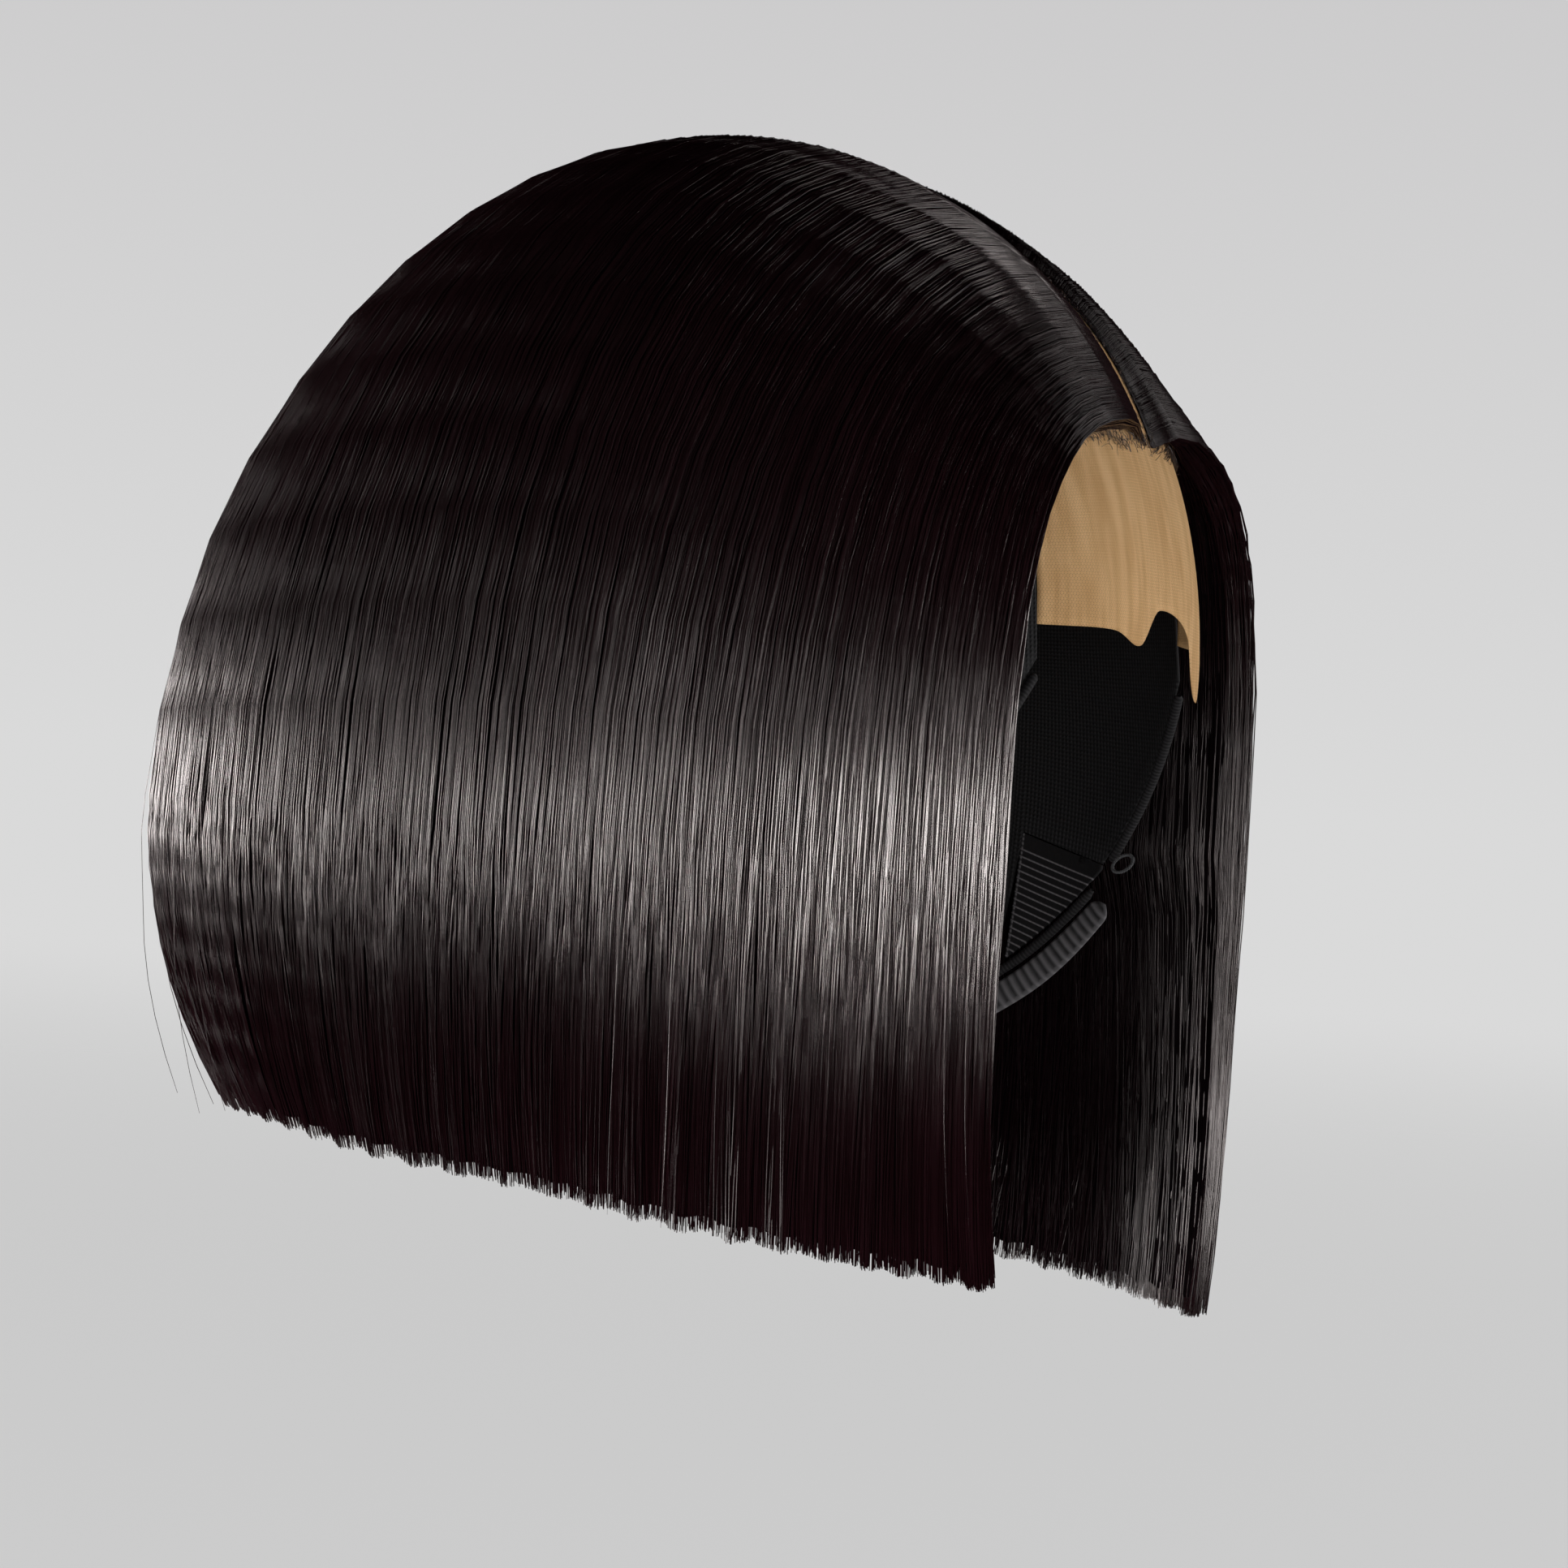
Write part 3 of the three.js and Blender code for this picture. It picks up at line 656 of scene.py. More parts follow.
@dataclass(frozen=True)
class UnderHairPaintedShadeFinish:
    """The mass of hair under the top strands, with fine streaks from root to tip. Its colour, darker than the
    strands, and its lack of shine are painted shade deep in the hair.
    """

    dark: tuple = (0.0022, 0.0013, 0.0016)
    light: tuple = (0.009, 0.0055, 0.0065)
    streaks: tuple = (420.0, 5.0)

    def material(self) -> bpy.types.Material:
        """Returns the under hair's material."""
        recipe = Recipe("hair_mass")
        across, down = recipe.uv()
        fine = recipe.streaks(across, down, self.streaks, 3.0, 0.65)
        tone = fine.step(0.35, 0.75)
        normal = recipe.bump(fine, 0.5 * MM)
        # Painted shade: the mass is coloured darker than the strands and set without specular, so the hair
        # reads shaded between the strands.
        colour = recipe.mix(tone, self.dark, self.light)
        return recipe.surface(Base_Color=colour, Roughness=0.9, Specular_IOR_Level=0.0, Normal=normal)


@dataclass(frozen=True)
class LaceFinish:
    """Tan fine net: alpha holes between threads, with painted highlight and shade on its folds. The UV map is
    in metres on the cloth.
    """

    thread: tuple = (0.97, 0.62, 0.3)
    # Darker lace colour, reached in the valleys of the folds as painted shade and where the random tone is
    # low.
    shade: tuple = (0.68, 0.37, 0.14)
    pitch: float = 0.8 * MM
    thread_share: float = 0.3
    crease_pitch: float = 3.2 * MM

    def material(self) -> bpy.types.Material:
        """Returns the lace's material."""
        recipe = Recipe("lace_net")
        across, down = recipe.uv()
        one = ((across + down * 0.58) / self.pitch).fraction()
        two = ((across - down * 0.58) / self.pitch).fraction()
        row = (down * 1.16 / self.pitch).fraction()
        threads = [(value - 0.5).magnitude() * 2.0 for value in (one, two, row)]
        ridge = threads[0].most(threads[1]).most(threads[2])
        cover = ridge.step(1 - 2 * self.thread_share, 1 - self.thread_share)
        folds = recipe.vector(across / self.crease_pitch, down / (9 * self.crease_pitch))
        fold_relief_and_painted_shade = recipe.noise(folds, 1.0, 3.0)
        cloud = recipe.noise(recipe.place(), 90.0, 3.0)
        # The folds make the colour lighter on their crests and darker in their valleys: painted highlight and
        # shade, over a random tone.
        tone = (fold_relief_and_painted_shade.step(0.3, 0.72) * 0.6 + cloud * 0.5 - 0.05).least(1.0)
        colour = recipe.mix(tone, self.shade, self.thread)
        normal = recipe.bump(ridge * 0.2 + fold_relief_and_painted_shade, 0.9 * MM)
        veil = (cover * 0.5 + 0.5).least(1.0)
        return recipe.surface(Base_Color=colour, Roughness=0.8, Alpha=veil, Normal=normal)


@dataclass(frozen=True)
class StretchMeshFinish:
    """Black stretch fabric with fine knitted columns."""

    dark: tuple = (0.006, 0.0055, 0.006)
    light: tuple = (0.03, 0.028, 0.03)
    pitch: float = 0.9 * MM

    def material(self) -> bpy.types.Material:
        """Returns the cap fabric's material."""
        recipe = Recipe("stretch_mesh")
        across, down = recipe.uv()
        column = (across / self.pitch).wave()
        stitch = (down / self.pitch + column * 0.35).wave()
        knit = column * 0.6 + stitch * 0.4
        colour = recipe.mix(knit * knit, self.dark, self.light)
        normal = recipe.bump(knit, 0.25 * MM)
        return recipe.surface(Base_Color=colour, Roughness=0.85, Normal=normal)


@dataclass(frozen=True)
class ClothFinish:
    """Plain black elastic or cord with a fine rib round or across it."""

    name: str
    dark: tuple = (0.008, 0.007, 0.008)
    light: tuple = (0.04, 0.037, 0.04)
    ribs: float = 1400.0
    roughness: float = 0.8

    def material(self) -> bpy.types.Material:
        """Returns the cloth's material."""
        recipe = Recipe(self.name)
        along, _ = recipe.uv()
        rib = (along * self.ribs).wave()
        fuzz = recipe.noise(recipe.place(), 900.0, 2.0)
        tone = rib * 0.6 + fuzz * 0.4
        colour = recipe.mix(tone * tone, self.dark, self.light)
        normal = recipe.bump(tone, 0.12 * MM)
        return recipe.surface(Base_Color=colour, Roughness=self.roughness, Normal=normal)


@dataclass(frozen=True)
class GussetFinish:
    """Black elastic with pale stitch lines along its hem. The UV map is turn and drop in metres."""

    dark: tuple = (0.005, 0.0045, 0.005)
    light: tuple = (0.014, 0.0125, 0.0145)
    stitch: tuple = (0.3, 0.28, 0.295)
    pitch: float = 1.7 * MM
    hem: float = 3.0 * MM
    line_share: float = 0.17
    dash: float = 1.1 * MM
    seam_at: float = 19.9 * MM

    def material(self) -> bpy.types.Material:
        """Returns the gusset's material."""
        recipe = Recipe("striped_elastic")
        across, down = recipe.uv()
        phase = ((down - self.hem) / self.pitch).fraction()
        line = 1 - ((phase - 0.5).magnitude() / self.line_share).least(1.0)
        dashes = ((across / self.dash * math.tau).sine() * 0.12 + 0.88) * down.above(self.hem)
        seam = 1 - ((across - self.seam_at).magnitude() / (0.35 * MM)).least(1.0)
        seam_dashes = (down / self.dash * math.tau).sine() * 0.4 + 0.6
        weave = recipe.streaks(across, down, (2600.0, 900.0), 2.0)
        base = recipe.mix(weave, self.dark, self.light)
        drawn = (line * dashes).most(seam * seam_dashes)
        colour = recipe.mix(drawn * 0.8, base, self.stitch)
        normal = recipe.bump(drawn * 0.4 + weave * 0.3, 0.25 * MM)
        return recipe.surface(Base_Color=colour, Roughness=0.85, Normal=normal)


@dataclass(frozen=True)
class StrapFinish:
    """Dark grey gathered elastic with a paler edge, painted lighter on the crests of its gathers and darker
    in their folds. The UV map is length in metres and the share across.
    """

    dark: tuple = (0.006, 0.0055, 0.0065)
    light: tuple = (0.2, 0.19, 0.2)
    pitch: float = 2.4 * MM

    def material(self) -> bpy.types.Material:
        """Returns the strap's material."""
        recipe = Recipe("gathered_elastic")
        along, row = recipe.uv()
        # Painted highlight on the crests of the gathers and painted shade in their folds, in step with the
        # strap's gathered thickness.
        gather = 1 - (along / self.pitch).wave()
        rib = recipe.streaks(along, row, (900.0, 3.0), 2.0)
        edge = row.step(0.8, 0.9)
        tone = (gather * 0.75 + rib * 0.3).most(edge * 0.55)
        colour = recipe.mix(tone.least(1.0), self.dark, self.light)
        return recipe.surface(Base_Color=colour, Roughness=0.8, Normal=recipe.bump(rib, 0.2 * MM))


@dataclass(frozen=True)
class StudioFinish:
    """Pale matt floor that fades into the surrounding."""

    tone: float = 0.25
    glow: float = 0.56
    fade: tuple = (0.2, 3.6)

    def material(self) -> bpy.types.Material:
        """Returns the floor's material."""
        recipe = Recipe("studio_floor")
        x, y, _ = recipe.parts(recipe.place())
        far = ((x * x + y * y) ** 0.5).step(*self.fade)
        return recipe.surface(
            Base_Color=(self.tone,) * 3,
            Roughness=0.95,
            Emission_Color=(self.glow,) * 3,
            Emission_Strength=1.0,
            Alpha=1 - far,
        )


def deselect() -> None:
    """Deselects every object, as the frame's import leaves its nodes selected."""
    bpy.ops.object.select_all(action="DESELECT")


def mesh_piece(name: str, points: Array, faces: Array, uv: Array) -> bpy.types.Object:
    """Makes a smooth mesh object from arrays.

    Args:
        name: The piece's name.
        points: Points, three numbers a row.
        faces: Four point numbers a row.
        uv: Two numbers a point, for the piece's UV map.

    Returns:
        The object, with its faces outward, in the scene.
    """
    corners = points[faces]
    spread = np.cross(corners[:, 2] - corners[:, 0], corners[:, 3] - corners[:, 1])
    if np.einsum("ij,ij->", corners.mean(axis=1), spread) < 0:
        faces = faces[:, ::-1]
    mesh = bpy.data.meshes.new(name)
    mesh.vertices.add(len(points))
    mesh.vertices.foreach_set("co", points.astype(np.float32).ravel())
    mesh.loops.add(faces.size)
    mesh.loops.foreach_set("vertex_index", faces.astype(np.int32).ravel())
    mesh.polygons.add(len(faces))
    mesh.polygons.foreach_set("loop_start", np.arange(0, faces.size, 4, dtype=np.int32))
    mesh.polygons.foreach_set("loop_total", np.full(len(faces), 4, dtype=np.int32))
    mesh.uv_layers.new(name="UVMap")
    mesh.uv_layers["UVMap"].data.foreach_set("uv", uv[faces.ravel()].astype(np.float32).ravel())
    mesh.polygons.foreach_set("use_smooth", np.ones(len(faces), dtype=bool))
    mesh.update(calc_edges=True)
    made = bpy.data.objects.new(name, mesh)
    bpy.context.scene.collection.objects.link(made)
    return made


def mend(piece: bpy.types.Object, distance: float = 0.002 * MM) -> None:
    """Merges a mesh's doubled points, drops its collapsed faces and turns its faces outward."""
    deselect()
    piece.select_set(True)
    bpy.context.view_layer.objects.active = piece
    bpy.ops.object.mode_set(mode="EDIT")
    bpy.ops.mesh.select_all(action="SELECT")
    bpy.ops.mesh.remove_doubles(threshold=distance)
    bpy.ops.mesh.dissolve_degenerate(threshold=distance)
    bpy.ops.mesh.select_all(action="SELECT")
    bpy.ops.mesh.normals_make_consistent(inside=False)
    bpy.ops.object.mode_set(mode="OBJECT")


def wall_piece(
    name: str, outer: Array, inner: Array, uv: Array, ring: bool = False
) -> bpy.types.Object:
    """Makes a closed wall between two grids of points.

    Args:
        name: The piece's name.
        outer: Outer surface, rows by columns by 3.
        inner: Inner surface, of the same shape.
        uv: Place on the cloth of each point, rows by columns by 2.
        ring: True if the last column joins the first.

    Returns:
        The wall's object.
    """
    rows, columns = outer.shape[:2]
    number = np.arange(rows * columns).reshape(rows, columns)
    if ring:
        number = np.concatenate([number, number[:, :1]], axis=1)
    layer = rows * columns

    def strip(a: Array, b: Array) -> Array:
        """Returns the faces between two lines of points."""
        return np.stack([a[:-1], b[:-1], b[1:], a[1:]], axis=-1).reshape(-1, 4)

    faces = [strip(number[row], number[row + 1]) for row in range(rows - 1)]
    faces += [strip(number[row + 1] + layer, number[row] + layer) for row in range(rows - 1)]
    faces += [strip(number[0] + layer, number[0]), strip(number[-1], number[-1] + layer)]
    if not ring:
        faces += [strip(number[:, 0], number[:, 0] + layer), strip(number[:, -1] + layer, number[:, -1])]
    points = np.concatenate([outer.reshape(-1, 3), inner.reshape(-1, 3)])
    return mesh_piece(name, points, np.concatenate(faces), np.tile(uv.reshape(-1, 2), (2, 1)))


def tube_piece(
    name: str, paths: Array, radii: Array, uv: Array, sides: int = 3, ring: bool = False
) -> bpy.types.Object:
    """Makes many tubes as one mesh.

    Args:
        name: The piece's name.
        paths: Tubes by points by 3.
        radii: Tubes by points.
        uv: Tubes by points by 2.
        sides: Sides of each tube.
        ring: True if each tube's end joins its start.

    Returns:
        The tubes' object.
    """
    count, length = paths.shape[:2]
    if ring:
        tangent = np.roll(paths, -1, axis=1) - np.roll(paths, 1, axis=1)
    else:
        tangent = np.gradient(paths, axis=1)
    tangent = tangent / np.maximum(np.linalg.norm(tangent, axis=-1, keepdims=True), 1e-12)
    middle = np.array([0.0, 0.02, -0.13])
    outward = paths - middle
    if ring:
        outward = np.broadcast_to(paths.mean(axis=1, keepdims=True) - middle, paths.shape)
    across = np.cross(tangent, outward)
    across = across / np.maximum(np.linalg.norm(across, axis=-1, keepdims=True), 1e-12)
    up = np.cross(across, tangent)
    angles = np.arange(sides) * (math.tau / sides)
    spokes = (
        across[:, :, None, :] * np.cos(angles)[None, None, :, None]
        + up[:, :, None, :] * np.sin(angles)[None, None, :, None]
    )
    points = paths[:, :, None, :] + spokes * radii[:, :, None, None]
    number = np.arange(count * length * sides).reshape(count, length, sides)
    turned = np.roll(number, -1, axis=2)
    if ring:
        ahead, turned_ahead = np.roll(number, -1, axis=1), np.roll(turned, -1, axis=1)
        faces = np.stack([number, turned, turned_ahead, ahead], axis=-1).reshape(-1, 4)
    else:
        body = [number[:, :-1], turned[:, :-1], turned[:, 1:], number[:, 1:]]
        faces = np.stack(body, axis=-1).reshape(-1, 4)
    spread = np.broadcast_to(uv[:, :, None, :], (count, length, sides, 2))
    return mesh_piece(name, points.reshape(-1, 3), faces, spread.reshape(-1, 2))


def dress(piece: bpy.types.Object, material: bpy.types.Material, slot: str, *nodes: str) -> bpy.types.Object:
    """Gives a piece its material, hides the CAD nodes that it stands for, and sets it on the body."""
    piece.data.materials.clear()
    piece.data.materials.append(material)
    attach(piece, "root")
    if nodes:
        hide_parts(*nodes)
    log.info("%s: %d faces", piece.name, len(piece.data.polygons))
    return piece


@dataclass
class StrandLayer:
    """How one layer of strands lies in the hair."""

    count: int
    depth: tuple
    lift: tuple = (0.0, 0.0)
    share: tuple = (0.0, 1.0)
    along: tuple = (0.0, 1.0)
    root_steps: tuple = (0.0, 0.0012, 0.006, 0.016, 0.036)
    arch_steps: int = 12
    fall_steps: int = 8
    radius: float = 0.17 * MM
    tip_radius: float = 0.11 * MM
    ragged: float = 0.006
    short_share: float = 0.05
    short_by: float = 0.022
    wander: float = 0.8 * MM
    waves: float = 0.6 * MM
    drift: tuple = (0.0, 0.0)
    stray: float = 0.0


@dataclass
class Hair:
    """The hair: masses in the solids' places, dark with painted shade, and layers of strands from the part to
    the cut.
    """

    form: HairForm = field(default_factory=HairForm)
    body_depth: float = 0.13
    body_end: float = 0.984
    body_rows: int = 44
    body_columns: int = 110
    footprint: float = 0.33
    clear_reach: float = 1.9
    fuzz_count: int = 520
    seed: int = 7
    neighbour_turns: tuple = (38.0, 91.0)
    neighbour_pulls: tuple = (6.0, 4.0)
    sway_rates: tuple = (9.0, 17.0)
    wisp_turns: tuple = (1900.0, 410.0)
    wave_rates: tuple = (21.0, 33.0)
    middle: tuple = (0.0, 0.01, -0.12)

    def _ends(self, layer: StrandLayer, rng: np.random.Generator) -> Array:
        """Returns the share at which each strand ends: most at the cut, a few of them shorter."""
        end = layer.share[1] - np.abs(rng.normal(0, layer.ragged, layer.count))
        short = rng.random(layer.count) < layer.short_share
        return end - np.where(short, layer.short_by * rng.random(layer.count), 0)

    def _lay(self, layer: StrandLayer, sides: Array, rng: np.random.Generator) -> tuple:
        """Works out the paths of a layer's strands.

        Args:
            layer: The layer's description.
            sides: -1 or 1 for each strand.
            rng: Seeded source of the strands' differences.

        Returns:
            Paths, radii and UV places for tube_piece.
        """
        count = layer.count
        along = blend(*layer.along, (np.arange(count) + rng.random(count)) / count)
        own = along + 0.0003 * rng.random(count)
        end = self._ends(layer, rng)
        rest = np.linspace(layer.root_steps[-1], 1, layer.arch_steps, endpoint=False)[1:] ** 1.1
        arch = self.form.arch_share * np.concatenate([layer.root_steps, rest])
        fall = np.linspace(self.form.arch_share, 1.0, layer.fall_steps + 1)
        base = np.concatenate([arch, fall])
        base = base[base >= layer.share[0]]
        share = np.broadcast_to(base, (count, len(base))).copy()
        below = np.maximum(0, (share - self.form.arch_share) / (1 - self.form.arch_share))
        share += below * (end - 1.0)[:, None]
        phase = rng.random((count, 1)) * math.tau
        pairs = zip(self.neighbour_pulls, self.neighbour_turns)
        together = sum(pull * np.sin(along * turn) for pull, turn in pairs)
        sway = self._ripple(share, self.sway_rates, together[:, None], phase)
        moved = along[:, None] + sway * smooth(share * 3) * layer.wander / self.footprint
        started = (share - layer.share[0]) / (layer.share[1] - layer.share[0])
        drift = blend(*layer.drift, rng.random((count, 1)))
        moved = 1 - np.abs(1 - np.abs(moved + drift * started))
        depth = blend(*layer.depth, rng.random((count, 1)))
        depth = np.broadcast_to(depth, share.shape)
        sides = np.broadcast_to(sides[:, None], share.shape)
        path = self.form.between(sides, moved, share, depth)
        wisp = np.sin(along * self.wisp_turns[0] + 2.2 * np.sin(along * self.wisp_turns[1]))[:, None] * 2.5
        wave = self._ripple(share, self.wave_rates, wisp, phase)
        lift = blend(*layer.lift, rng.random((count, 1)))
        calm = 1 - 0.75 * smooth((share - 0.66) / 0.2)
        lift = (lift + wave * layer.waves * calm) * smooth(share * 6)
        lift = lift + layer.stray * rng.random((count, 1)) ** 3 * share**4
        path = path + self._outward(path) * lift[..., None]
        taper = 1 - smooth((share - 0.94) / np.maximum(end[:, None] - 0.94, 0.02))
        radii = layer.tip_radius + (layer.radius - layer.tip_radius) * np.maximum(taper, 0)
        radii = radii * (0.75 + 0.5 * rng.random((count, 1)))
        uv = np.stack([np.broadcast_to(own[:, None], share.shape), share], axis=-1)
        return path, radii, uv

    @staticmethod
    def _ripple(share: Array, rates: tuple, shift: Array, phase: Array) -> Array:
        """Returns a wave down the strands: a slow part with a shift and a fast part with a phase."""
        return np.sin(share * rates[0] + shift) * 0.6 + np.sin(share * rates[1] + phase) * 0.4

    def _outward(self, path: Array) -> Array:
        """Returns unit directions away from the head at points of the hair."""
        out = path - np.array(self.middle)
        out[..., 2] = np.maximum(0, out[..., 2])
        return out / np.maximum(np.linalg.norm(out, axis=-1, keepdims=True), 1e-9)

    def strands(
        self,
        name: str,
        layer: StrandLayer,
        side: Side | None,
        seed: int,
        material: bpy.types.Material | None = None,
    ) -> bpy.types.Object:
        """Makes one layer of strands on one side, or on both where side is None."""
        rng = np.random.default_rng(self.seed * 100 + seed)
        if side is None:
            sides = np.where(rng.random(layer.count) < 0.5, -1.0, 1.0)
        else:
            sides = np.full(layer.count, float(side.value))
        piece = tube_piece(name, *self._lay(layer, sides, rng))
        return dress(piece, material or self.strand_material, "hair")

    def mass(self, name: str, node: str, side: Side | None) -> bpy.types.Object:
        """Makes the mass under the strands of one CAD node, dark with painted shade."""
        if side is None:
            start = self.form.seam_along + 0.004
            column = np.linspace(start - 1, 1 - start, self.body_columns)
            along, signs = 1 - np.abs(column), np.where(column < 0, -1.0, 1.0)
        else:
            along = np.linspace(0.006, self.form.seam_along, self.body_columns)
            signs = np.full(along.shape, float(side.value))
        row = np.linspace(0, 1, self.body_rows)
        share = (row**1.8 * self.body_end)[:, None]
        along, signs, share = np.broadcast_arrays(along[None, :], signs[None, :], share)
        outer = self.form.between(signs, along, share, np.full(share.shape, self.body_depth))
        inner = self.form.between(signs, along, share, np.full(share.shape, 0.99))
        inset = self.form.beside_part(along, share, self.clear_reach * self.form.lay_reach(along))[..., None]
        outer = blend(outer, inner, 0.9 * inset) - self._outward(outer) * 0.5 * MM * inset
        inner = inner - self._outward(inner) * 0.6 * MM * inset
        if side is None:
            uv_along = np.where(signs < 0, along, 2 - along)
        else:
            uv_along = along
        uv = np.stack([uv_along, share], axis=-1)
        piece = wall_piece(name, outer, inner, uv)
        return dress(piece, self.painted_shade_mass_material, "hair", node)

    def build(self) -> None:
        """Builds the masses and every layer of strands."""
        self.strand_material = StrandFinish().material()
        # Painted shade: the strands inside the curtains get a darker copy of the strand finish with a weaker
        # reflection.
        inner = StrandFinish(name="hair_inner_strand_painted_shade", refraction=1.6, light=(0.013, 0.005, 0.007))
        self.painted_shade_inner_material = inner.material()
        self.painted_shade_mass_material = UnderHairPaintedShadeFinish().material()
        seam = self.form.seam_along
        for side in Side:
            self.mass(f"hair_mass_{side.label}", f"hair_{side.label}", side)
            top = StrandLayer(1200, (0.0, 0.06), (-0.15 * MM, 0.35 * MM), along=(0.0, seam))
            self.strands(f"hair_top_{side.label}", top, side, 1 + side.value)
            count = {Side.LEFT: 620, Side.RIGHT: 220}[side]
            inside = StrandLayer(
                count, (0.9, 1.0), (-1.2 * MM, 0.0), share=(0.34, 1.0), along=(0.04, 0.34), wander=1.8 * MM,
                drift=(-0.01, 0.12), fall_steps=7,
            )
            self.strands(f"hair_inside_{side.label}", inside, side, 11 + side.value, self.painted_shade_inner_material)
            count, reach = {Side.LEFT: (860, 0.085), Side.RIGHT: (220, 0.03)}[side]
            edge = StrandLayer(count, (0.03, 0.98), along=(0.0, reach), ragged=0.01)
            self.strands(f"hair_edge_{side.label}", edge, side, 21 + side.value)
            tips = StrandLayer(560, (0.05, 0.95), along=(0.0, seam), share=(0.8, 1.0), ragged=0.012)
            self.strands(f"hair_tips_{side.label}", tips, side, 31 + side.value)
        self.mass("hair_mass_back", "hair_back", None)
        back = StrandLayer(1100, (0.0, 0.06), (-0.15 * MM, 0.35 * MM), along=(seam, 1.0))
        self.strands("hair_top_back", back, None, 40)
        tips = StrandLayer(760, (0.05, 0.95), along=(seam, 1.0), share=(0.8, 1.0), ragged=0.012)
        self.strands("hair_tips_back", tips, None, 41)
        stray = StrandLayer(
            70, (0.0, 0.02), (0.0, 0.5 * MM), radius=0.08 * MM, tip_radius=0.05 * MM, stray=11 * MM
        )
        self.strands("hair_flyaways", stray, None, 51)
        self.fuzz()

    def fuzz(self) -> bpy.types.Object:
        """Makes the short hairs that are knotted along the hairline and across the part."""
        rng = np.random.default_rng(self.seed)
        head = self.form.cap.head
        count = self.fuzz_count
        on_part = rng.random(count) < 0.2
        half = self.form.cap.closure_half_angle
        side_angle = np.where(on_part, rng.normal(0, 0.5, count), rng.uniform(-half, half, count))
        line = self.form.cap.hairline_fall
        fall = np.where(on_part, rng.uniform(24, line, count), line + rng.normal(-0.3, 0.7, count))
        heading = np.where(side_angle < 0, -1, 1) * rng.uniform(0.4, 1.3, count)
        heading = np.where(on_part, heading * 0.9, heading)
        steps = np.linspace(0, 1, 6)
        length = np.where(on_part, rng.uniform(1.0, 2.6, count), rng.uniform(2.0, 6.5, count))
        reach = (length * MM / head.half_length / DEGREE)[:, None] * steps
        curl = rng.normal(0, 0.5, count)[:, None] * steps
        side_angle = side_angle[:, None] + np.sin(heading[:, None] + curl) * reach
        fall = fall[:, None] - np.cos(heading[:, None] + curl) * reach * 0.7
        rise = self.form.cap.lace_wall + (0.1 + 1.1 * np.sin(steps * 2.4) * rng.random((count, 1))) * MM
        path = head.point(head.closure_direction(side_angle, fall), rise)
        radii = np.broadcast_to(0.09 * MM * (1 - 0.6 * steps), (count, len(steps)))
        uv = np.stack(np.broadcast_arrays(rng.random((count, 1)), steps), axis=-1)
        return dress(tube_piece("hairline_knots", path, radii, uv), self.strand_material, "hair")


